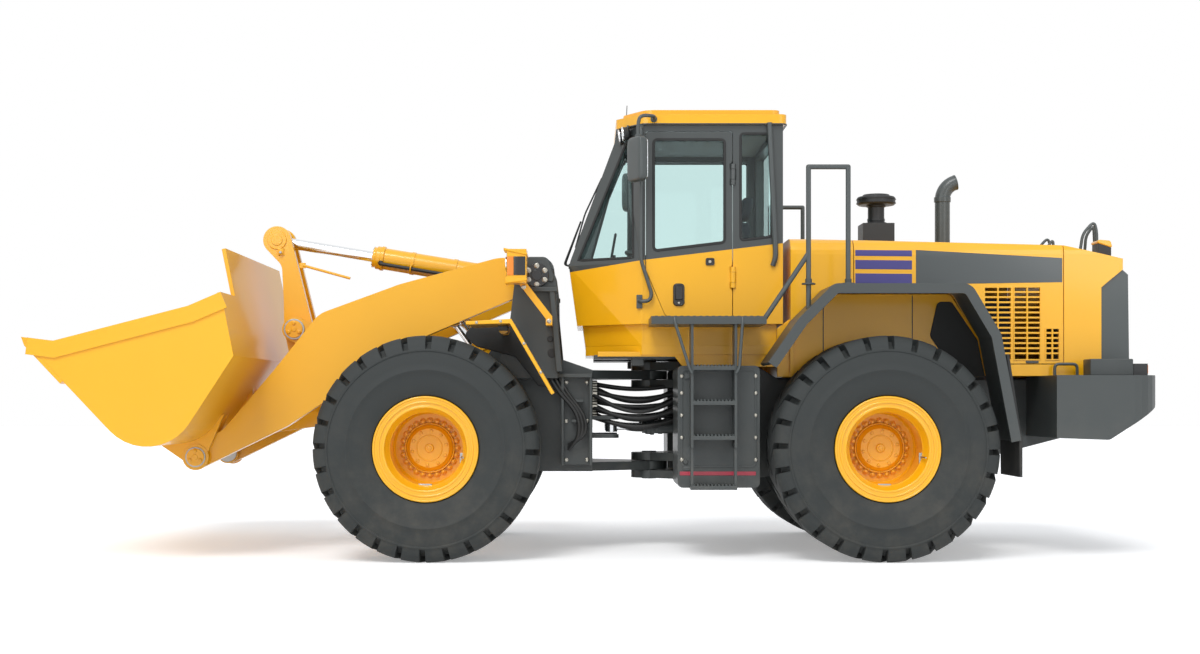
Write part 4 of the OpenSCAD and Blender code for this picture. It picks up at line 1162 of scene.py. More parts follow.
def pillow(lo: Sequence[float], hi: Sequence[float], power: float = 0.45, steps: int = 28) -> Patch:
    """Stuffed or moulded block, a superellipsoid: p(t, s) = centre + half * (c(s)c(t), c(s)s(t), s(s)) ** power.

    Args:
        lo: Lowest corner.
        hi: Highest corner.
        power: 1 for an ellipsoid, towards 0 for a box.
        steps: Steps from pole to pole.

    Returns:
        The closed surface.
    """
    def bent(v: np.ndarray) -> np.ndarray:
        """Raises a value to the power and keeps its sign."""
        return np.sign(v) * np.abs(v) ** power

    s = np.linspace(-math.pi / 2, math.pi / 2, steps)[1:-1, None]
    t = np.linspace(0, 2 * math.pi, 2 * steps, endpoint=False)[None]
    unit = np.stack([bent(np.cos(s)) * bent(np.cos(t)), bent(np.cos(s)) * bent(np.sin(t)),
                     bent(np.sin(s)) + 0 * t], -1)
    lo, hi = np.asarray(lo, float), np.asarray(hi, float)
    return grid((lo + hi) / 2 + unit * (hi - lo) / 2, wrap_v=True, cap_u=True).outward()


def disc(centre: Sequence[float], radius: float, y_to: float, sides: int = 40) -> Patch:
    """Round cap across the machine, from a point out to the place y_to, with a chamfered rim.

    Args:
        centre: Centre of its inner face.
        radius: Radius of the cap.
        y_to: Place of its outer face.
        sides: Steps around it.

    Returns:
        The closed cap.
    """
    return rod(centre, (centre[0], y_to, centre[2]), radius, sides, 4.0)


def capped_pin(x: float, z: float, y: float, radius: float) -> Patch:
    """Pin's end cap with three bolts, facing the machine's right side from y.

    Args:
        x: Pin's place along the machine.
        z: Pin's height.
        y: Place of the cap's seat.
        radius: Radius of the cap.

    Returns:
        The surface.
    """
    cap = joined([disc((x, y - 2, z), radius, y + 10), disc((x, y + 8, z), radius * 0.3, y + 14, 24)])
    heads = stamped(bolt(radius * 0.2), ring_of(3, radius * 0.68, (x, y + 10, z), 90), (0, 1, 0))
    return joined([cap, heads])


# Bucket, boom and linkage


@dataclass(frozen=True)
class BucketTrim:
    """Cutting edge, its bolts, welds and pin retainers, modelled with the floor level and the pin at the origin."""

    pin: tuple[float, float] = (-1900.0, 765.0)
    roll: float = 46.7
    half: float = 1570.0
    floor: float = -150.0
    reach: float = 1404.0
    edge_end: float = -954.0
    edge_t: float = 28.0
    back_mid: tuple[float, float] = (-450.0, 225.0)
    back_r: float = 345.0
    bolt_step: float = 280.0

    def placed(self, part: Patch) -> Patch:
        """Turns a surface from the level frame into the parked pose.

        Args:
            part: Surface in the bucket's own frame.

        Returns:
            The surface as parked.
        """
        c, s = math.cos(math.radians(self.roll)), math.sin(math.radians(self.roll))
        return part.mapped(np.array([[c, 0, s], [0, 1, 0], [-s, 0, c]]), (self.pin[0], 0, self.pin[1]))

    def edge(self) -> Patch:
        """Cutting edge bolted under the floor, bevelled towards the tip.

        Returns:
            The surface in the bucket's frame.
        """
        low = self.floor - self.edge_t
        profile = np.array([(-self.reach + 3, self.floor - 2), (-self.reach + 62, low), (self.edge_end, low),
                            (self.edge_end, self.floor + 2), (-self.reach + 70, self.floor + 2)])
        return slab(profile, -self.half, self.half, 3)

    def edge_bolts(self) -> Patch:
        """Bolts through the cutting edge: nuts below, countersunk heads above.

        Returns:
            The surface in the bucket's frame.
        """
        y = np.arange(-self.half + 170, self.half - 160, self.bolt_step)
        rows = np.array([(x, v) for x in (-1190.0, -1030.0) for v in y])
        low = np.column_stack([rows, np.full(len(rows), self.floor - self.edge_t)])
        high = low + [0, 0, self.edge_t + 30]
        head = lathe([(24, -2), (24, 2), (20, 4)], 28)
        return joined([stamped(bolt(24), low, (0, 0, -1)), stamped(head, high, (0, 0, 1))])

    def welds(self) -> Patch:
        """Weld beads between the shell and the side plates.

        Returns:
            The surface in the bucket's frame.
        """
        t = np.radians(np.linspace(-90, 13.6, 14))
        arc = np.column_stack([self.back_mid[0] + self.back_r * np.cos(t),
                               self.back_mid[1] + self.back_r * np.sin(t)])
        lean = np.array([-math.sin(math.radians(13.6)), math.cos(math.radians(13.6))])
        path = np.concatenate([[(-1300.0, self.floor + 30)], arc, [arc[-1] + 560 * lean]])
        return both(swept(circle(10, 8), at_y(path, self.half - 32)))

    def build(self, shop: Workshop) -> None:
        """Adds the bucket's pieces.

        Args:
            shop: Workshop that makes the pieces.
        """
        body = "bucket_body"
        shop.add("cutting_edge", self.placed(self.edge()), "bucket", body)
        shop.add("cutting_edge_bolts", self.placed(self.edge_bolts()), "steel", body)
        shop.add("bucket_welds", self.placed(self.welds()), "bucket", body)
        link = np.array([30.0, 0.0, 340.0])
        caps = joined([both(disc((0, 670, 0), 104, 676)), both(disc(link + [0, 144, 0], 66, 158))])
        shop.add("bucket_pin_bosses", self.placed(caps), "yellow", body)
        x, z = self.pin
        shop.add("bucket_pin_caps", both(capped_pin(x, z, 684, 70)), "yellow", "boom_body")


@dataclass(frozen=True)
class LinkTrim:
    """Caps, lock plates, welds and the bucket-position rod of boom, bellcrank and link."""

    pivot: tuple[float, float] = (-1200.0, 1800.0)
    top: tuple[float, float] = (-1355.0, 2540.0)
    foot: tuple[float, float] = (-840.0, 1085.0)
    cross: tuple[float, float] = (-800.0, 1640.0)
    plate_y: float = 145.0
    bracket_y: float = 215.0

    def build(self, shop: Workshop) -> None:
        """Adds the linkage's pieces.

        Args:
            shop: Workshop that makes the pieces.
        """
        (px, pz), (tx, tz), (fx, fz), (cx, cz) = self.pivot, self.top, self.foot, self.cross
        y = self.plate_y
        lock = joined([block((tx + 6, y, tz - 128), (tx + 58, y + 10, tz - 70), 6),
                       disc((tx + 32, y + 8, tz - 104), 20, y + 22)])
        caps = joined([disc((tx, y - 1, tz), 78, y + 9), disc((tx, y + 7, tz), 46, y + 15), lock])
        shop.add("bellcrank_top_caps", both(caps), "yellow", "bellcrank_body")
        nut = disc((tx + 32, y + 20, tz - 104), 13, y + 30, 6)
        shop.add("bellcrank_lock_bolts", both(nut), "steel", "bellcrank_body")
        rod_path = [(px + 62, -y - 14, 2330), (px + 110, -y - 14, 2316), (px + 452, -y - 14, 2222)]
        shop.add("bucket_position_rod", joined([tube(rod_path, 11, 20), block((px + 30, -y - 20, 2306),
                                                                              (px + 84, -y, 2350), 4)]),
                 "yellow", "bellcrank_body")
        shop.add("bellcrank_pin_caps", both(capped_pin(px, pz, self.bracket_y + 14, 72)), "yellow",
                 "boom_body")
        shop.add("link_pin_caps", both(capped_pin(fx, fz, y + 14, 60)), "yellow", "bellcrank_body")
        ring = lathe([(140, 0), (158, 2), (140, 20)], 64, loop=True)
        welds = [stamped(ring, np.array([[cx, 520.0, cz]]), (0, -1, 0))]
        welds += [stamped(ring, np.array([[cx, v, cz]]), (0, s, 0)) for v, s in ((215.0, 1), (155.0, -1))]
        shop.add("boom_welds", both(joined(welds)), "yellow", "boom_body")
        pipes = [tube([(760, s * 505, 2290), (500, s * 505, 2280), (-250, s * 505, 2075),
                       (-700, s * 505, 1840),
                       (-760, s * 470, 1790)], 13, 120, 10) for s in (1, -1)]
        clips = [block((x - 20, 488, z - 24), (x + 20, 521, z + 24), 4) for x,
                 z in ((430, 2262), (-20, 2140), (-440, 1984))]
        shop.add("boom_pipes", joined(pipes), "satin", "boom_body")
        shop.add("boom_pipe_clips", both(joined(clips)), "satin", "boom_body")


@dataclass(frozen=True)
class Cylinder:
    """Gland, end rings, port pipes and clamps of one hydraulic cylinder, modelled along +z from its base eye."""

    name: str
    body: str
    base: tuple[float, float, float]
    eye: tuple[float, float, float]
    length: float
    radius: float
    finish: str
    pipe_side: tuple[float, float, float]

    def build(self, shop: Workshop) -> None:
        """Adds the cylinder's pieces.

        Args:
            shop: Workshop that makes the pieces.
        """
        r, n = self.radius, self.length
        place = axes(np.subtract(self.eye, self.base))
        out = np.asarray(self.pipe_side, float) @ place
        out[2] = 0
        out /= np.linalg.norm(out)
        gland = lathe([(r + 1, n - 96), (r + 12, n - 92), (r + 12, n - 66), (r + 6, n - 62), (r + 6, n - 30),
                       (r - 1, n - 24),
                       (r * 0.72, n + 6), (r * 0.56, n + 6), (r * 0.56, n - 30)], 48)
        foot = lathe([(r - 2, r + 24), (r + 7, r + 28), (r + 7, r + 58), (r - 2, r + 62)], 48)
        t = np.linspace(0, 2 * math.pi, 10, endpoint=False)
        heads = np.column_stack([(r * 0.82) * np.cos(t), (r * 0.82) * np.sin(t), np.full(10, n - 6.0)])
        line = [out * (r + 4) + (0, 0, n - 78), out * (r + 30) + (0, 0, n - 78),
                out * (r + 30) + (0, 0, r + 90),
                out * (r + 4) + (0, 0, r + 74)]
        side = np.cross(out, (0, 0, 1.0))
        clamps = []
        for h in (n * 0.38, n * 0.7):
            clamps.append(lathe([(r - 2, h - 16), (r + 5, h - 16), (r + 5, h + 16), (r - 2, h + 16)], 48))
            clamps.append(tube([side * 24 + out * (r + 2) + (0, 0, h), side * 24 + out * (r + 48) + (0, 0, h),
                                -side * 24 + out * (r + 48) + (0, 0, h), -side * 24 + out * (r + 2) + (0, 0, h)], 7, 14, 8))
        ports = [rod(out * (r - 4) + (0, 0, h), out * (r + 20) + (0, 0, h), 24, 6) for h in (n - 78, r + 74)]
        def put(part: Patch) -> Patch:
            """Places a piece along the cylinder."""
            return part.mapped(place, self.base)

        shop.add(self.name + "_rings", put(joined([gland, foot])), self.finish, self.body)
        shop.add(self.name + "_gland_bolts", put(stamped(bolt(r * 0.16, False), heads, (0, 0, 1))), "zinc",
                 self.body)
        shop.add(self.name + "_pipe", put(joined([tube(line, 15, 40, 12), *ports])), "hose", self.body)
        shop.add(self.name + "_clamps", put(joined(clamps)), self.finish, self.body)


class Cylinders:
    """The machine's five cylinders."""

    def build(self, shop: Workshop) -> None:
        """Adds the trim of every cylinder.

        Args:
            shop: Workshop that makes the pieces.
        """
        made = [Cylinder("tilt", "tilt_barrel_body", (520, 0, 2232), (-1355, 0, 2540), 1110, 90, "barrel",
                         (0, -1, -0.5))]
        for name, s in SIDES.items():
            made.append(Cylinder(f"lift_{name}", f"lift_barrel_{name}_body", (900, s * 335, 800),
                                 (128, s * 335, 1889), 1070, 92,
                                 "barrel", (0.4, 0, 1)))
            made.append(Cylinder(f"steer_{name}", f"steer_barrel_{name}_body", (2145, s * 250, 1000),
                                 (1405, s * 330, 1000), 490,
                                 55, "cylinder", (0, 0, 1)))
        for cylinder in made:
            cylinder.build(shop)


# Front frame


@dataclass(frozen=True)
class FrontTrim:
    """Lamps, tower covers, mudguard liners, side boxes and hoses of the front frame; made for the right, then mirrored."""

    lamp: tuple[float, float, float] = (590.0, 850.0, 2120.0)
    lamp_size: tuple[float, float, float] = (150.0, 220.0, 260.0)
    root: tuple[float, float] = (808.0, 2206.0)
    plate_y: float = 690.0

    def lamps(self, shop: Workshop) -> None:
        """Adds visor, lenses and turn lamp of the head lamps.

        Args:
            shop: Workshop that makes the pieces.
        """
        x, y, z = self.lamp
        dx, dy, dz = self.lamp_size
        visor = np.array([(x - 26, z + dz + 8), (x + dx + 6, z + dz - 30), (x + dx + 6, z + dz - 48),
                          (x - 26, z + dz - 10)])
        lower = np.array([(x - 14, z - 6), (x + dx + 4, z + 16), (x + dx + 4, z + 34), (x - 14, z + 40)])
        shop.add("lamp_visors", both(joined([slab(visor, y - 8, y + dy + 10, 4), slab(lower, y - 6,
                                                                                      y + dy + 8, 4)])),
                 "yellow", "front_body")
        side = y + dy
        dark = joined([block((x + 52, side - 4, z + 58), (x + dx - 8, side + 5, z + dz - 58), 5),
                       block((x - 3, y + 12, z + 52), (x + 4, side - 12, z + dz - 24), 4)])
        shop.add("lamp_faces", both(dark), "gloss", "front_body")
        shop.add("turn_lamps", both(joined([block((x + 2, side - 6, z + 58), (x + 50, side + 7, z + dz - 58),
                                                  6)])),
                 "amber", "front_body")
        lens = [rod((x - 2, y + v, z + 150), (x - 12, y + v, z + 150), 46, 40, 6) for v in (64, 160)]
        rings = [lathe([(44, 0), (54, 0), (54, 10), (46, 13)], 40, loop=True).mapped(axes((-1, 0, 0)),
                                                                                     (x - 3, y + v, z + 150))
                 for v in (64, 160)]
        shop.add("lamp_lenses", both(joined(lens)), "clear", "front_body")
        shop.add("lamp_rings", both(joined(rings)), "chrome", "front_body")
        arm = [bolt(16).mapped(axes((0, 1, 0)), (px, 910, pz)) for px, pz in ((712, 2098), (910, 1832))]
        shop.add("lamp_arm_bolts", both(joined(arm)), "zinc", "front_body")

    def towers(self, shop: Workshop) -> None:
        """Adds root pin caps, ribs, ledge and side box of the towers.

        Args:
            shop: Workshop that makes the pieces.
        """
        (rx, rz), y = self.root, self.plate_y
        caps = joined([disc((rx, y + 18, rz), 96, y + 30), disc((rx, y + 28, rz), 44, y + 38),
                       disc((rx + 110, y - 1, rz + 30), 26, y + 10)])
        heads = stamped(bolt(18), ring_of(6, 74, (rx, y + 30, rz), 30), (0, 1, 0))
        shop.add("root_pin_caps", both(caps), "gloss", "front_body")
        shop.add("root_pin_bolts", both(heads), "zinc", "front_body")
        crest = slab(round_corners([(690, 2275, 30), (720, 2352, 50), (900, 2352, 60), (948, 2180, 40),
                                    (930, 2150, 10), (740, 2190, 30)]),
                     y - 10, y + 16, 6)
        rib = slab(np.array([(905, 2110), (948, 2110), (1012, 1440), (962, 1440)]), y - 6, y + 60, 5)
        shelf = block((770, y - 6, 2072), (972, y + 70, 2110), 6)
        ledge = block((968, 500, 1396), (1246, y, 1426), 5)
        box = slab(np.array([(1000, 700), (1246, 700), (1246, 1398), (1000, 1398)]), 560, 585, 4)
        posts = [block((x, 500, 700), (x + 22, y - 12, 1398), 4) for x in (1000, 1224)]
        shop.add("tower_plates", both(joined([crest, rib, shelf, ledge, box, *posts])), "dark", "front_body")
        dots = [disc((915, y - 1, 1700), 24, y + 8), disc((930, y - 1, 1590), 36, y + 6)]
        shop.add("tower_plugs", both(joined(dots)), "plastic", "front_body")
        rows = np.array([(x, 585.0, z) for x in (1040.0, 1206.0) for z in (740.0, 1050.0, 1360.0)])
        shop.add("box_bolts", both(stamped(bolt(14), rows, (0, 1, 0))), "zinc", "front_body")

    def liners(self, shop: Workshop) -> None:
        """Adds the rubber liners behind the front tyres and the front fenders' edge flanges.

        Args:
            shop: Workshop that makes the pieces.
        """
        y = self.plate_y
        sheet = round_corners([(225, 1735, 40), (300, 1800, 30), (640, 1800, 30), (905, 1330, 30),
                               (820, 1330, 30), (640, 1560, 60),
                               (330, 1640, 80)])
        shop.add("mud_liners", both(slab(sheet, y + 14, y + 34, 5)), "flap", "front_body")
        lip = np.array([(300, 1782), (300, 1806), (640, 1824), (962, 1270), (940, 1257), (628, 1790)])
        shop.add("fender_flanges", both(slab(lip, 1404, 1424, 3)), "yellow", "front_body")
        stays = [tube([(560, y, 1762), (560, 1000, 1762)], 14, 10),
                 block((520, 985, 1752), (600, 1060, 1790), 6)]
        rows = np.array([(x, 1424.0, z) for x, z in ((380, 1797), (560, 1806), (735, 1640), (860, 1425))])
        shop.add("fender_stays", both(joined(stays)), "dark", "front_body")
        shop.add("fender_bolts", both(stamped(bolt(10), rows, (0, 1, 0))), "zinc", "front_body")

    def hoses(self, shop: Workshop) -> None:
        """Adds the hose loops on the towers' rear and the pipes up to the tilt cylinder.

        Args:
            shop: Workshop that makes the pieces.
        """
        loops = [tube([(880 + k * 34, 640, 1480), (960 + k * 34, 668, 1300),
                       (1130 + k * 30, 676, 1120 - k * 10), (1150 + k * 26, 668, 940),
                       (1060, 620, 820 + k * 20)], 15, 130, 12) for k in range(3)]
        feeds = [tube([(700, 60 + 40 * k, 1880), (640, 60 + 40 * k, 2040), (560 + 30 * k, 60 + 40 * k, 2130)],
                      15, 80, 12) for k in range(2)]
        shop.add("front_hoses", both(joined(loops + feeds)), "hose", "front_body")
        clips = [block((1080, 585, 1040 + 160 * k), (1180, 664, 1062 + 160 * k), 4) for k in range(2)]
        shop.add("hose_clips", both(joined(clips)), "dark", "front_body")

    def build(self, shop: Workshop) -> None:
        """Adds the front frame's pieces.

        Args:
            shop: Workshop that makes the pieces.
        """
        self.lamps(shop)
        self.towers(shop)
        self.liners(shop)
        self.hoses(shop)


@dataclass(frozen=True)
class HingeHoses:
    """Hydraulic hoses across the centre hinge, made as one fixed mesh on no body."""

    front_x: float = 1250.0
    rear_x: float = 2000.0
    hinge_x: float = 1725.0
    reach: float = 240.0

    def hose(self, y: float, z: float, sag: float, bow: float) -> Patch:
        """One hose: p(t) falls by sag sin(pi t) and bows sideways by bow sin(pi t).

        Args:
            y: Place across the machine of both ends.
            z: Height of the ends.
            sag: Drop at the middle.
            bow: Sideways bow at the middle.

        Returns:
            The hose's surface.
        """
        t = np.linspace(0, 1, 41)
        x = self.front_x - 8 + (self.rear_x - self.front_x + 16) * t
        swing = np.sin(math.pi * t)
        return swept(circle(17, 12), np.column_stack([x, y + bow * swing, z - sag * swing]))

    def build(self, shop: Workshop) -> None:
        """Adds the hoses and their end fittings.

        Args:
            shop: Workshop that makes the pieces.
        """
        k = np.arange(14)
        rows = np.column_stack([215.0 + 34 * (k % 5), 1355.0 - 21 * k, 45 + 17 * (k * 5 % 7),
                                40 + 9 * (k * 3 % 8)])
        obj = shop.add("articulation_hoses", both(joined([self.hose(*row) for row in rows])), "hose", None,
                       60, ["hinge_hoses"])

        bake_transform(obj)
        nut = lathe([(24, 0), (24, 34), (20, 40)], 6)
        front = stamped(nut, np.array([(self.front_x, y, z) for y, z, _, _ in rows]), (1, 0, 0))
        rear = stamped(nut, np.array([(self.rear_x, y, z) for y, z, _, _ in rows]), (-1, 0, 0))
        shop.add("hose_nuts_front", both(front), "zinc", "front_body")
        shop.add("hose_nuts_rear", both(rear), "zinc", "rear_body")


# Cab


@dataclass(frozen=True)
class CabShape:
    """Places of the cab's walls and panes."""

    half: float = 800.0
    rear_x: float = 2746.0
    nose_x: float = 1060.0
    sill_z: float = 2300.0
    head_z: float = 3380.0
    lean: float = 405.0 / 1080.0
    waist_rise: float = 0.12
    pane_top: float = 3310.0

    def waist(self, x: float) -> float:
        """Lower edge of the side panes.

        Args:
            x: Place along the machine.

        Returns:
            Its height.
        """
        return self.sill_z + 10 + self.waist_rise * (x - self.nose_x)

    def side_pane(self, x0: float, x1: float, top: float, r: float = 24.0) -> np.ndarray:
        """Outline of a side pane with its rising lower edge.

        Args:
            x0: Front edge.
            x1: Rear edge.
            top: Upper edge.
            r: Corner radius.

        Returns:
            Outline (x, z).
        """
        return round_corners([(x0, self.waist(x0), r), (x1, self.waist(x1), r), (x1, top, r), (x0, top, r)])

    def corner_pane(self) -> np.ndarray:
        """Loop of the left front corner pane, on the two faces between windscreen and door pillar.

        Returns:
            Points in space.
        """
        corners = np.array([(1135.0, 2340.0), (1570.0, 2340.0), (1570.0, 3310.0), (1535.0, 3310.0)])
        t = np.linspace(0, 1, 14, endpoint=False)[:, None]
        edge = np.concatenate([a + t * (b - a) for a, b in zip(corners, np.roll(corners, -1, 0))])
        x, z = edge.T
        lower = -self.half - 0.60526 * (x - 1630) + 0.16679 * (z - self.sill_z)
        upper = -self.half - 1.697 * (x - 1630)
        return np.column_stack([x, np.minimum(lower, upper), z])


@dataclass(frozen=True)
class CabTrim:
    """Seals, handles, rails, wiper, lamps and antenna outside the cab."""

    shape: CabShape = CabShape()
    rail_y: float = -838.0

    def seals(self, shop: Workshop) -> None:
        """Adds the rubber seals round the panes.

        Args:
            shop: Workshop that makes the pieces.
        """
        s = self.shape
        left, right, out = (0, -1, 0), (0, 1, 0), s.half + 1
        door = loop_strip(at_y(s.side_pane(1730, 2287, 3264, 30), -out), left, 22, 8)
        rear_left = loop_strip(at_y(s.side_pane(2413, 2656, s.pane_top), -out), left, 20, 8)
        side_right = loop_strip(at_y(s.side_pane(1710, 2626, s.pane_top), out), right, 20, 8)
        box = rounded_box(-620, 2560, 620, s.pane_top, 30)
        back = loop_strip(np.column_stack([np.full(len(box), s.rear_x + 1), box]), (1, 0, 0), 20, 8)
        box = rounded_box(-400, 2340, 400, s.pane_top, 30)
        x = s.nose_x + s.lean * (box[:, 1] - s.sill_z) - 1
        screen = loop_strip(np.column_stack([x, box]), (-1, 0, s.lean), 22, 8)
        corner = loop_strip(s.corner_pane(), (-0.52, -0.85, 0.1), 20, 8)
        shop.add("door_seal", door, "flap", "cab_door_body")
        shop.add("cab_seals", joined([rear_left, side_right, back, screen, both(corner)]), "flap",
                 "rear_body")

    def door_gear(self, shop: Workshop) -> None:
        """Adds the door's handle, lock, slot and inside panel.

        Args:
            shop: Workshop that makes the pieces.
        """
        y = -self.shape.half
        shell = slab(rounded_box(1882, 1956, 1972, 2134, 30), y - 8, y + 4, 5)
        ring = frame_plate(rounded_box(1886, 1960, 1968, 2130, 28), 12, y - 16, y - 6)
        grip = slab(rounded_box(1898, 2002, 1956, 2116, 14), y - 24, y - 12, 5)
        slot = joined([slab(rounded_box(2138, 2275, 2207, 2333, 14), y - 4, y + 4, 2),
                       frame_plate(rounded_box(2138, 2275, 2207, 2333, 14), 9, y - 12, y - 2)])
        shop.add("door_handle", joined([shell, ring, grip, slot]), "gloss", "cab_door_body")
        lock = joined([disc((1927, y - 6, 1980), 11, y - 18, 24), disc((2172, y - 3, 2304), 12, y - 9, 24)])
        shop.add("door_lock", lock, "zinc", "cab_door_body")
        panel = slab(np.array([(1690, 2270), (1690, 2330), (2330, 2410), (2330, 1900), (1850, 1900)]), y + 62,
                     y + 76, 5)
        pull = tube([(1800, y + 72, 2240), (1800, y + 118, 2240), (2150, y + 118, 2280),
                     (2150, y + 72, 2280)], 14, 30)
        shop.add("door_lining", joined([panel, pull]), "trim", "cab_door_body")

    def rails(self, shop: Workshop) -> None:
        """Adds the grab rail before the door, the tube behind the rear pane and the antenna.

        Args:
            shop: Workshop that makes the pieces.
        """
        y, wall = self.rail_y, -self.shape.half
        grab = tube([(1630, wall, 3352), (1630, y, 3340), (1630, y, 2310), (1716, y, 2042), (1690, y, 1992),
                     (1628, y, 1992),
                     (1612, wall, 1992)], 15, 40)
        feet = joined([block((1594, wall - 14, 1936), (1640, wall + 2, 2044), 6),
                       block((1612, wall - 10, 3320), (1650, wall + 2, 3384), 5)])
        duct = tube([(2636, wall - 24, 3392), (2684, wall - 24, 2400), (2684, wall - 24, 2330),
                     (2664, wall - 10, 2272)], 21, 60)
        shop.add("cab_grab_rail", joined([grab, feet, duct]), "satin", "rear_body")
        mast = joined([rod((1525, -420, 3450), (1525, -420, 3490), 16, 20),
                       rod((1525, -420, 3488), (1530, -420, 3600), 3.2, 10, 1)])
        shop.add("antenna", mast, "plastic", "rear_body")

    def wiper(self, shop: Workshop) -> None:
        """Adds the windscreen wiper with its arm and blade, and the washer pipe.

        Args:
            shop: Workshop that makes the pieces.
        """
        s = self.shape
        def on(y: float, z: float, off: float) -> tuple[float, float, float]:
            """Point before the windscreen by a distance."""
            return (s.nose_x + s.lean * (z - s.sill_z) - off - (20 if off > 20 else 0), y, z)

        arm = [tube([on(-60, 2330, 8), on(-60, 2345, 40), on(-90, 2700, 34)], 8, 20, 10),
               tube([on(-30, 2330, 8), on(-36, 2350, 30), on(-84, 2690, 32)], 5, 20, 8)]
        hub = joined([rod(on(-60, 2330, -6), on(-60, 2330, 18), 22),
                      rod(on(-30, 2330, -6), on(-30, 2330, 14), 13)])
        blade = tube([on(-110, 2480, 16), on(-90, 2760, 24), on(-70, 3060, 16)], 7, 40, 8)
        shop.add("windscreen_wiper", joined([*arm, hub, blade]), "plastic", "rear_body")

    def lamps(self, shop: Workshop) -> None:
        """Adds the work lamps under the roof's front corners.

        Args:
            shop: Workshop that makes the pieces.
        """
        shell = lathe([(20, 60), (46, 44), (58, 10), (60, 0), (54, -4), (54, 2)], 36)
        ring = lathe([(50, -10), (62, -8), (62, 4), (50, 2)], 36, loop=True)
        glass = lathe([(52, -2), (40, -6), (20, -9)], 36)
        turn = axes((1, 0, 0.12))
        spots = [(1492.0, 690.0, 3322.0), (1466.0, 566.0, 3322.0)]
        def put(part: Patch) -> Patch:
            """Sets a piece at every lamp."""
            return both(joined([part.mapped(turn, p) for p in spots]))

        shop.add("work_lamps", put(shell), "plastic", "rear_body")
        shop.add("work_lamp_rings", put(ring), "chrome", "rear_body")
        shop.add("work_lamp_glass", put(glass), "clear", "rear_body")
        stays = [tube([(x + 30, y, z + 30), (x + 40, y, z + 70)], 10, 10, 10) for x, y, z in spots]
        shop.add("work_lamp_stays", both(joined(stays)), "dark", "rear_body")

    def roof(self, shop: Workshop) -> None:
        """Adds the gutter under the roof's edge and a hatch.

        Args:
            shop: Workshop that makes the pieces.
        """
        edge = round_corners([(1448, -556, 50), (1448, 556, 50), (1642, 820, 100), (2772, 820, 50),
                              (2772, -820, 50), (1642, -820, 100)])
        gutter = np.column_stack([edge, np.full(len(edge), 3384.0)])
        shop.add("roof_gutter", loop_strip(gutter, (0, 0, 1), 18, 10), "dark", "rear_body")
        lid = prism(round_corners([(1900, -360, 60), (2560, -360, 60), (2560, 360, 60), (1900, 360, 60)]),
                    3496, 3512, 5)
        shop.add("roof_panel", lid, "yellow", "rear_body")

    def build(self, shop: Workshop) -> None:
        """Adds the cab's outside pieces.

        Args:
            shop: Workshop that makes the pieces.
        """
        self.seals(shop)
        self.door_gear(shop)
        self.rails(shop)
        self.wiper(shop)
        self.lamps(shop)
        self.roof(shop)


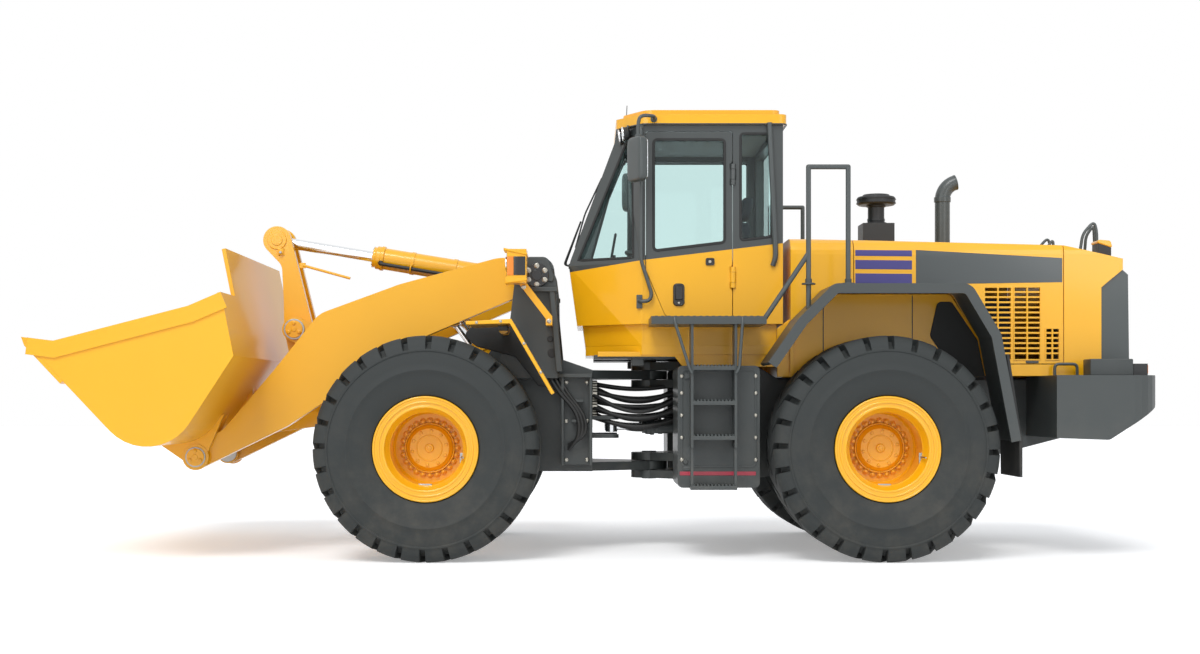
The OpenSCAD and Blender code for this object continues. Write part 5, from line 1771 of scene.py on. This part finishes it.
@dataclass(frozen=True)
class CabInside:
    """Seat, consoles, linings and levers seen through the panes."""

    seat_x: float = 2180.0
    floor_z: float = 1650.0

    def seat(self, shop: Workshop) -> None:
        """Adds the seat, which replaces the plain one: base with bellows, padded cushions and armrest.

        Args:
            shop: Workshop that makes the pieces.
        """
        x, z = self.seat_x, self.floor_z
        folds = [(186 + 14 * (k % 2), z + 60 + 22 * k) for k in range(10)]
        bellows = lathe(folds, 4).mapped(axes((0, 0, 1)) @ np.diag([1.25, 1.25, 1.0]), (x, 0, 0))
        base = joined([block((x - 230, -210, z + 1), (x + 230, 210, z + 62), 8),
                       block((x - 250, -220, z + 280), (x + 250, 220, z + 330), 8), bellows])
        shop.add("seat_base", base, "vinyl", "rear_body", stands_for=["operator_seat"])
        lean = np.array([[1, 0, 0.19], [0, 1, 0], [-0.02, 0, 1.0]])
        pieces = {"seat_cushion": pillow((x - 285, -255, z + 325), (x + 215, 255, z + 455), 0.42),
                  "seat_bolster": both(pillow((x - 260, 175, z + 350), (x + 200, 262, z + 490), 0.5)),
                  "seat_back": pillow((-70, -240, 0), (70, 240, 640), 0.42).mapped(lean,
                                                                                   (x + 205, 0, z + 400)),
                  "seat_back_bolster": both(pillow((-105, 165, 60), (30, 250, 560), 0.5).mapped(lean,
                                                                                                (x + 205, 0,
                                                                                                 z + 400))),
                  "seat_headrest": pillow((-50, -150, 0), (50, 150, 190), 0.5).mapped(lean,
                                                                                      (x + 330, 0, z + 1060))}
        for name, part in pieces.items():
            shop.add(name, part, "vinyl" if "bolster" in name else "cloth", "rear_body", 60)
        arms = both(pillow((x - 150, 262, z + 590), (x + 200, 330, z + 650), 0.4))
        posts = [rod((x + 310, s * 80, z + 1010), (x + 330, s * 80, z + 1120), 8) for s in (1, -1)]
        shop.add("seat_armrests", joined([arms, *posts, both(block((x + 150, 266, z + 420), (x + 190, 300, z + 600), 6))]), "plastic", "rear_body")

    def consoles(self, shop: Workshop) -> None:
        """Adds dash, side console, levers, pedals, monitor and linings.

        Args:
            shop: Workshop that makes the pieces.
        """
        z = self.floor_z
        dash = slab(round_corners([(1215, z, 0), (1215, 2270, 40), (1330, 2290, 40), (1430, 2120, 60),
                                   (1380, z, 0)]), -320, 320, 12)
        side = slab(round_corners([(1980, z, 0), (1960, 2120, 40), (2080, 2180, 40), (2560, 2180, 40),
                                   (2600, z, 0)]), 360, 640, 14)
        pod = slab(round_corners([(1480, 2215, 20), (1462, 2330, 30), (1530, 2350, 30), (1590, 2240, 20)]),
                   -160, 160, 10)
        screen = slab(round_corners([(1405, 2440, 14), (1440, 2640, 14), (1462, 2636, 14), (1427, 2436, 14)]),
                      250, 470, 5)
        neck = tube([(1420, 360, 2250), (1440, 360, 2460)], 14, 10)
        shop.add("cab_consoles", joined([dash, side, pod, screen, neck]), "trim", "rear_body")
        sticks = [tube([(2040 + 44 * k, 420 + 62 * k, 2160), (2020 + 44 * k, 420 + 62 * k, 2290),
                        (2002 + 44 * k, 420 + 62 * k, 2330)], 8, 20, 10)
                  for k in range(3)]
        knobs = [pillow((1982 + 44 * k, 400 + 62 * k, 2312), (2024 + 44 * k, 440 + 62 * k, 2386), 0.7,
                        16) for k in range(3)]
        column = tube([(1592, 52, 2290), (1640, 150, 2330), (1660, 215, 2340)], 9, 20, 10)
        shop.add("cab_levers", joined(sticks + knobs + [column]), "gloss", "rear_body")
        pedals = [slab(np.array([(1420, 1690), (1500, 1770), (1512, 1760), (1432, 1680)]), s - 45, s + 45,
                       3) for s in (-190, 190)]
        mat = prism(round_corners([(1240, -400, 40), (1640, -700, 40), (2670, -700, 40), (2670, 700, 40),
                                   (1640, 700, 40), (1240, 400, 40)]),
                    z + 0.5, z + 9, 2)
        shop.add("cab_floor_mat", joined([mat, *pedals]), "flap", "rear_body")
        lining = [block((2670, -732, z + 10), (2684, 732, 2545), 5),
                  block((1690, 724, z + 10), (2672, 738, 2372), 5),
                  prism(round_corners([(1500, -480, 60), (1660, -715, 60), (2680, -715, 60), (2680, 715, 60),
                                       (1660, 715, 60), (1500, 480, 60)]),
                        3352, 3378, 5)]
        shop.add("cab_lining", joined(lining), "trim", "rear_body")
        visor = slab(round_corners([(1478, 3180, 4), (1520, 3330, 4), (1528, 3328, 4), (1486, 3178, 4)], 2),
                     -300, 300, 2)
        shop.add("sun_visor", visor, "flap", "rear_body")

    def build(self, shop: Workshop) -> None:
        """Adds the cab's inside.

        Args:
            shop: Workshop that makes the pieces.
        """
        self.seat(shop)
        self.consoles(shop)


@dataclass(frozen=True)
class Mirrors:
    """Rounded mirror housings with their glass, which take the place of the plain ones."""

    x: float = 1600.0
    y: float = 1010.0
    low: float = 2905.0
    high: float = 3250.0
    turn: float = 30.0

    def build(self, shop: Workshop) -> None:
        """Adds housings, arms and glass.

        Args:
            shop: Workshop that makes the pieces.
        """
        x, y = self.x, self.y
        c, s = math.cos(math.radians(self.turn)), math.sin(math.radians(self.turn))
        def turn(part: Patch) -> Patch:
            """Turns a piece about the mirror's upright."""
            return part.moved((-x, -y, 0)).mapped(np.array([[c, s, 0], [-s, c, 0], [0, 0, 1]]), (x, y, 0))

        shell = turn(pillow((x - 46, y - 102, self.low), (x + 32, y + 102, self.high), 0.34))
        arm = tube([(x + 130, 818, 3420), (x + 130, y - 40, 3420), (x + 20, y, 3420), (x, y, 3360),
                    (x, y, 3236)], 14, 60)
        clamp = joined([rod((x, y, 3226), (x, y, 3268), 24),
                        rod((x + 130, 806, 3420), (x + 130, 836, 3420), 26)])
        shop.add("mirror_housings", both(joined([shell, arm, clamp])), "satin", "rear_body", 40, ["mirrors"])
        glass = prism(round_corners([(y - 88, self.low + 18, 26), (y + 88, self.low + 18, 26),
                                     (y + 88, self.high - 18, 26), (y - 88, self.high - 18, 26)]),
                      x + 30, x + 36, 1.5).mapped(Y_Z)
        shop.add("mirror_glass", both(turn(glass)), "mirror", "rear_body")


# Rear frame


@dataclass(frozen=True)
class Access:
    """Treads, ladder rails, tank details and platform studs; made for the right, then mirrored."""

    ladder: tuple[float, float] = (1990.0, 2340.0)
    treads: tuple[float, ...] = (538.0, 916.0, 1180.0, 1444.0)
    tank_y: float = 1120.0
    platform: tuple[float, float, float] = (1690.0, 2560.0, 1850.0)

    def build(self, shop: Workshop) -> None:
        """Adds the access pieces.

        Args:
            shop: Workshop that makes the pieces.
        """
        x0, x1 = self.ladder
        y = self.tank_y
        tooth = block((-8, -68, -2), (8, 68, 11), 3)
        places = np.array([(x, y + 100, z + 30) for z in self.treads for x in np.arange(x0 + 26, x1 - 20,
                                                                                        27.0)])
        shop.add("tread_teeth", both(stamped(tooth, places, (0, 0, 1))), "satin", "rear_body")
        rails = [tube([(1866, 1306, 1844), (1866, 1322, 1810), (x0 - 14, 1322, 1462), (x0 + 8, 1310, 1420)],
                      12, 30),
                 tube([(2378, 1306, 1844), (2378, 1322, 1810), (x1 + 14, 1322, 1462), (x1 - 8, 1310, 1420)],
                      12, 30)]
        shop.add("ladder_rails", both(joined(rails)), "satin", "rear_body")
        strip = slab(rounded_box(1916, 640, 2500, 670, 6), y - 1, y + 2.5, 1)
        shop.add("tank_red_strip", both(strip), "red_strip", "rear_body")
        panel = frame_plate(rounded_box(1925, 700, 2505, 1455, 40), 14, y - 2, y + 6)
        latch = joined([slab(rounded_box(1935, 676, 2015, 704, 8), y - 1, y + 9, 3),
                        block((1955, y, 1380), (2025, y + 14, 1420), 5),
                        rod((1960, y - 4, 745), (1960, y + 16, 745), 20, 6)])
        rows = np.array([(x, y + 6, z) for x in (1932.0, 2498.0) for z in (760.0, 930.0, 1100.0, 1270.0,
                                                                           1400.0)])
        shop.add("tank_panels", both(joined([panel, latch])), "dark", "rear_body")
        shop.add("tank_bolts", both(stamped(bolt(12), rows, (0, 1, 0))), "zinc", "rear_body")
        a, b, z = self.platform
        studs = np.array([(x, v, z) for x in np.arange(a + 40, b - 30, 48.0) for v in np.arange(845.0, 1300.0,
                                                                                                48.0)])
        shop.add("platform_studs", both(stamped(lathe([(15, -1), (14, 3), (9, 5)], 10), studs, (0, 0, 1))),
                 "dark", "rear_body")
        feet = np.array([(x, 1280.0, 2090.0) for x in (2880.0, 3180.0)])
        foot = joined([lathe([(52, -1), (52, 9), (48, 12)], 32), lathe([(26, 8), (26, 40), (21, 46)], 24)])
        shop.add("rail_feet", both(stamped(foot, feet, (0, 0, 1))), "dark", "rear_body")


@dataclass(frozen=True)
class HoodTrim:
    """Stripes, strip, louvre bars, latches and top fittings of the hood."""

    half: float = 850.0
    edge_z: float = 2360.0
    edge_r: float = 130.0

    def skin(self, x0: float, x1: float, low: tuple[float, float], high: tuple[float, float]) -> Patch:
        """Thin plate on the left side, p(u, v) = (x, -half or the rounded edge, z), set 1.5 mm proud and 2 mm deep.

        Args:
            x0: Front edge.
            x1: Rear edge.
            low: Lower edge's height at the front and the rear.
            high: Upper edge's height at the front and the rear.

        Returns:
            The closed plate.
        """
        u, v = np.linspace(0, 1, 9)[:, None], np.linspace(0, 1, 13)[None]
        x = x0 + (x1 - x0) * u + 0 * v
        z = (low[0] + (low[1] - low[0]) * u) * (1 - v) + (high[0] + (high[1] - high[0]) * u) * v
        rise = np.clip(z - self.edge_z, 0, self.edge_r)
        y = -(self.half - self.edge_r) - np.sqrt(self.edge_r ** 2 - rise ** 2)
        lift = np.stack([0 * x, np.where(rise > 0, (y + self.half - self.edge_r) / self.edge_r, -1.0),
                         rise / self.edge_r], -1)
        face = np.stack([x, y, z], -1)
        def rim(p: np.ndarray) -> np.ndarray:
            """Points round a grid's edge."""
            return np.concatenate([p[:, 0], p[-1, 1:], p[-2::-1, -1], p[0, -2:0:-1]])

        top, bed = face + 1.5 * lift, face - 2.0 * lift
        edge = np.stack([rim(top), rim(bed)])
        return joined([grid(top), grid(bed[:, ::-1]), grid(edge, wrap_v=True)]).outward()

    def build(self, shop: Workshop) -> None:
        """Adds the hood's pieces.

        Args:
            shop: Workshop that makes the pieces.
        """
        for side, flip in (("left", False), ("right", True)):
            body = f"engine_door_{side}_body"
            def put(part: Patch) -> Patch:
                """Piece for this side."""
                return part.mirrored() if flip else part

            bars = [self.skin(3306, 3749, (lo, lo - 4), (hi, hi - 4)) for lo,
                    hi in ((2346, 2392), (2243, 2314), (2133, 2209))]
            shop.add(f"hood_stripes_{side}", put(joined(bars)), "stripe", body)
            shop.add(f"hood_strip_{side}", put(self.skin(3780, 4925, (2122, 2140), (2392, 2329))), "strip",
                     body)
            y = -self.half
            frames = [frame_plate(rounded_box(a, lo, b, hi, 8), 10, y - 5, y + 3)
                      for a, b, lo, hi in ((4542, 4759, 1528, 2108), (4790, 4907, 1528, 1784))]
            frames += [block((x - 7, y - 3, lo), (x + 7, y + 16, hi), 3) for x, lo,
                       hi in ((4422, 1760, 2100), (4651, 1536, 2100), (4848, 1536, 1776))]
            shop.add(f"louvre_frames_{side}", put(joined(frames)), "yellow", body)
            latch = joined([slab(rounded_box(4640, 1506, 4740, 1524, 6), y - 6, y + 3, 2),
                            slab(rounded_box(3520, 2122, 3640, 2130, 3), y - 4, y + 2, 1)])
            shop.add(f"door_latch_{side}", put(latch), "dark", body)
        self.top(shop)

    def top(self, shop: Workshop) -> None:
        """Adds the fittings on the hood's top: cleaner rings, exhaust mouth, lamp guards.

        Args:
            shop: Workshop that makes the pieces.
        """
        base = lathe([(92, 2660), (106, 2664), (106, 2690), (78, 2700)], 48).moved((3621, 0, 0))
        rings = [lathe([(r - 6, z), (r + 5, z + 1), (r + 5, z + h), (r - 6, z + h + 1)],
                       64).moved((3621, 0, 0))
                 for r, z, h in ((159, 2856, 6), (159, 2888, 6), (68, 2708, 22))]
        flange = block((3470, -152, 2462), (3772, 152, 2482), 6)
        shop.add("cleaner_rings", joined([base, *rings, flange]), "plastic", "rear_body")
        x, z = 4175.0, 2452.0
        tilt = axes((math.cos(math.radians(15)), 0, math.sin(math.radians(15))))
        # Dark disc on the stack's end: soot, and painted shade standing in for the open pipe.
        mouth = lathe([(54, 1), (40, 1.5), (10, 1.5)], 40).mapped(tilt, (x + 111, 0, 3035))
        rim = lathe([(54, -8), (64, -8), (64, 2), (54, 2)], 40, loop=True).mapped(tilt, (x + 111, 0, 3035))
        shop.add("exhaust_mouth", mouth, "void", "rear_body")
        collar = lathe([(63, z - 20), (96, z - 6), (96, z + 10), (63, z + 16)], 48).moved((x, 0, 0))
        shop.add("exhaust_collar", joined([rim, collar]), "satin", "rear_body")
        guard = tube([(5130, 640, 2408), (5150, 640, 2540), (5240, 640, 2640), (5262, 640, 2560),
                      (5262, 640, 2452)], 12, 50)
        second = tube([(5190, 560, 2400), (5200, 560, 2530), (5262, 560, 2618), (5270, 560, 2452)], 12, 40)
        shop.add("lamp_guards", both(joined([guard, second])), "satin", "rear_body")
        cap = slab(round_corners([(5238, 2462, 10), (5250, 2486, 20), (5344, 2478, 20), (5362, 2420, 10)]),
                   552, 728, 6)
        shop.add("rear_lamp_hoods", both(cap), "yellow", "rear_body")


@dataclass(frozen=True)
class RearTrim:
    """Wheel-well panels, mudflaps, rear lamps, grille slats and counterweight fittings."""

    weight_y: float = 1300.0
    tail_x: float = 5560.0

    def build(self, shop: Workshop) -> None:
        """Adds the rear pieces.

        Args:
            shop: Workshop that makes the pieces.
        """
        well = slab(round_corners([(2700, 1400, 0), (2700, 1780, 20), (3060, 2052, 60), (4060, 2052, 60),
                                   (4290, 1700, 60), (4330, 1400, 0)]), 772, 790, 4)
        seams = [block((x, 789, 1410), (x + 7, 793, 2040), 1) for x in (3060, 3760)]
        shop.add("wheel_wells", both(well), "yellow", "rear_body")
        shop.add("wheel_well_seams", both(joined(seams)), "dark", "rear_body")
        liner = slab(round_corners([(3900, 1720, 60), (3960, 1990, 40), (4070, 1990, 40), (4275, 1690, 60),
                                    (4330, 1400, 0), (4120, 1400, 0)]), 786, 800, 3)
        flap = slab(np.array([(4338, 1560), (4362, 1560), (4462, 910), (4462, 640), (4440, 640),
                              (4436, 910)]), 860, 1415, 4)
        shop.add("mud_flaps", both(joined([liner, flap])), "flap", "rear_body")
        shelf = slab(np.array([(1290, 1560), (1290, 1600), (2700, 1600), (2700, 1480), (1960, 1480),
                               (1900, 1560)]), 728, 745, 4)
        shop.add("deck_skirts", both(shelf), "yellow", "rear_body")
        mounts = [block((1262, 240, 1546), (2690, 716, 1574), 5),
                  block((1560, 480, 1490), (1660, 690, 1560), 8)]
        shop.add("cab_mounts", both(joined(mounts)), "dark", "rear_body")
        top = 1406.0
        lamp = block((5045, 985, top - 2), (5374, 1172, top + 126), 10)
        shop.add("rear_lamp_boxes", both(lamp), "dark", "rear_body")
        shop.add("rear_stop_lenses", both(block((5486, 990, top + 12), (5498, 1060, top + 80), 4)), "red",
                 "rear_body")
        shop.add("rear_turn_lenses", both(block((5486, 1070, top + 12), (5498, 1140, top + 80), 4)), "amber",
                 "rear_body")
        shop.add("rear_work_lenses", both(block((5346, 572, 2318), (5357, 708, 2442), 6)), "clear",
                 "rear_body")
        loop = tube([(4850, 905, top - 6), (4850, 905, top + 92), (5025, 905, top + 92),
                     (5025, 905, top - 6)], 12, 36)
        eyes = [tube([(5200, v, top - 6), (5200, v, top + 70), (5300, v, top + 70), (5300, v, top - 6)], 16,
                     40) for v in (330,)]
        shop.add("rear_loops", both(joined([loop, *eyes])), "satin", "rear_body")
        rows = np.array([(self.tail_x - 2, v, z) for v in (430.0, 820.0) for z in (1230.0, 1350.0)])
        shop.add("weight_bolts", both(stamped(bolt(34), rows, (1, 0, 0))), "dark", "rear_body")
        plate = block((self.tail_x - 4, -260, 1222), (self.tail_x + 5, -130, 1334), 4)
        shop.add("blank_plate", plate, "satin", "rear_body")
        foot, head = np.array([5455.0, 1406.0]), np.array([5445.0, 2200.0])
        slats = []
        for k in range(1, 10):
            x, z = head + (foot - head) * k / 10
            slats.append(block((x - 10, 44, z - 32), (x + 8, 716, z - 22), 3))
        slats += [block((5434, v - 9, 1430), (5462, v + 9, 2190), 4) for v in (26.0, 734.0)]
        shop.add("grille_slats", both(joined(slats)), "satin", "rear_body")


# Studio


@dataclass(frozen=True)
class Studio:
    """Camera as fitted to the photo, pale floor, soft light and white background."""

    camera: tuple[float, float, float] = (1.198, -13.45, 1.21)
    lens: float = 48.3
    shift: tuple[float, float] = (14 / 1200, 74 / 1200)
    floor_half: float = 60.0
    floor_lift: float = 0.3

    def build(self) -> None:
        """Adds the camera, the floor, the lights and the background."""
        scene = bpy.context.scene
        data = bpy.data.cameras.new("photo_camera")
        data.lens, data.sensor_width, data.sensor_fit = self.lens, 36.0, "HORIZONTAL"
        data.shift_x, data.shift_y = self.shift
        data.clip_end = 300.0
        obj = bpy.data.objects.new("photo_camera", data)
        obj.location = (AXLE_X + self.camera[0], self.camera[1], self.camera[2])
        obj.rotation_euler = (math.radians(90), 0, 0)
        scene.collection.objects.link(obj)
        scene.camera = obj
        self.floor()
        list(self.lights())
        self.background()
        scene.view_settings.view_transform = "Standard"

    def floor(self) -> bpy.types.Object:
        """Adds the pale floor, lifted to white for the camera so that only the shadow shows.

        Returns:
            The floor's object.
        """
        h = self.floor_half
        mesh = bpy.data.meshes.new("floor")
        mesh.from_pydata([(-h, -h, 0), (h, -h, 0), (h, h, 0), (-h, h, 0)], [], [(0, 1, 2, 3)])
        material = bpy.data.materials.new("floor")
        material.use_nodes = True
        shader = material.node_tree.nodes["Principled BSDF"]
        shader.inputs["Base Color"].default_value = (0.93, 0.93, 0.93, 1)
        shader.inputs["Roughness"].default_value = 0.9
        shader.inputs["Specular IOR Level"].default_value = 0.1
        n = Nodes(material.node_tree)
        seen = n.seen()
        shader.inputs["Emission Color"].default_value = (1, 1, 1, 1)
        material.node_tree.links.new(n.math("MULTIPLY", seen, self.floor_lift),
                                     shader.inputs["Emission Strength"])
        mesh.materials.append(material)
        obj = bpy.data.objects.new("floor", mesh)
        bpy.context.scene.collection.objects.link(obj)
        return obj

    def lights(self) -> list[bpy.types.Object]:
        """Adds a broad sun and two soft panels.

        Returns:
            The lights' objects.
        """
        made = []
        sun = bpy.data.lights.new("soft_sun", "SUN")
        sun.energy, sun.angle = 1.5, math.radians(24)
        obj = bpy.data.objects.new("soft_sun", sun)
        obj.rotation_euler = (math.radians(38), math.radians(-14), 0)
        made.append(obj)
        for name, place, size, power in (("panel_front", (-5.0, -9.5, 5.5), 5.0, 150.0),
                                         ("panel_rear", (6.5, -8.5, 4.5), 4.0, 110.0)):
            panel = bpy.data.lights.new(name, "AREA")
            panel.shape, panel.size, panel.energy = "DISK", size, power
            obj = bpy.data.objects.new(name, panel)
            obj.location = place
            aim = np.array([0.0, 0.0, 1.4]) - np.array(place)
            pitch = math.pi / 2 + math.atan2(aim[2], math.hypot(aim[0], aim[1]))
            obj.rotation_euler = (pitch, 0, math.atan2(aim[1], aim[0]) - math.pi / 2)
            made.append(obj)
        for obj in made:
            bpy.context.scene.collection.objects.link(obj)
        return made

    def background(self) -> None:
        """White to the camera, in mirrors and through glass; a pale sky-to-ground gradient as light."""
        world = bpy.data.worlds.new("studio")
        bpy.context.scene.world = world
        world.use_nodes = True
        tree = world.node_tree
        n = Nodes(tree)
        shader = tree.nodes["Background"]
        seen = n.seen()
        up = n.new("SeparateXYZ", Vector=n.new("TexCoord").outputs["Generated"]).outputs["Z"]
        sky = n.mix(n.ramp(up, -0.15, 0.55), (0.22, 0.225, 0.23, 1.0), (0.62, 0.64, 0.67, 1.0))
        tree.links.new(n.mix(seen, sky, (1.0, 1.0, 1.0, 1.0)), shader.inputs["Color"])
        shader.inputs["Strength"].default_value = 1.0


def paint_nodes(shop: Workshop) -> None:
    """Gives every CAD node its finish.

    Args:
        shop: Workshop that holds the paints.
    """
    shop.paint("yellow", "engine_hood", "engine_door_left", "engine_door_right", "cab_roof", "front_fenders",
               "boom_arms", "boom_cross_tube", "bellcrank", "bucket_link", "cab_floor", "head_lamps",
               *(f"rim_{end}_{side}" for end in ("front", "rear") for side in SIDES))
    shop.paint("bucket", "bucket")
    shop.paint("cab", "cab_front", "cab_left_side", "cab_right_side", "cab_rear_wall", "cab_door")
    shop.paint("glass", "cab_glass", "door_glass")
    shop.paint("dark", "rear_frame", "front_frame", "counterweight", "side_tanks", "ladders", "rear_fenders")
    shop.paint("satin", "rear_grille", "handrails", "mirrors", "exhaust_stack")
    shop.paint("iron", "rear_axle", "front_axle", "power_train")
    shop.paint("plastic", "control_column", "air_precleaner", "rear_lamps")
    shop.paint("cloth", "operator_seat")
    shop.paint("hose", "hinge_hoses")
    shop.paint("steel", "bucket_pins", "bellcrank_pin", "link_pin", "tilt_base_pin")
    shop.paint("barrel", "tilt_barrel", *(f"lift_barrel_{side}" for side in SIDES))
    shop.paint("cylinder", *(f"steer_barrel_{side}" for side in SIDES))
    shop.paint("chrome", "tilt_rod", *(f"{kind}_rod_{side}" for kind in ("lift", "steer") for side in SIDES))
    shop.paint("rubber", *(f"tyre_{end}_{side}" for end in ("front", "rear") for side in SIDES))


def main() -> None:
    """Builds the scene in order."""
    logging.basicConfig(level=logging.INFO, format="%(name)s %(message)s")
    shop = Workshop(Paints())
    paint_nodes(shop)
    for assembly in (Wheel(), BucketTrim(), LinkTrim(), Cylinders(), FrontTrim(), HingeHoses(), CabTrim(),
                     CabInside(),
                     Mirrors(), Access(), HoodTrim(), RearTrim()):
        assembly.build(shop)
    Studio().build()
    LOG.info("%d pieces added", shop.count)


if __name__ == "__main__":
    main()
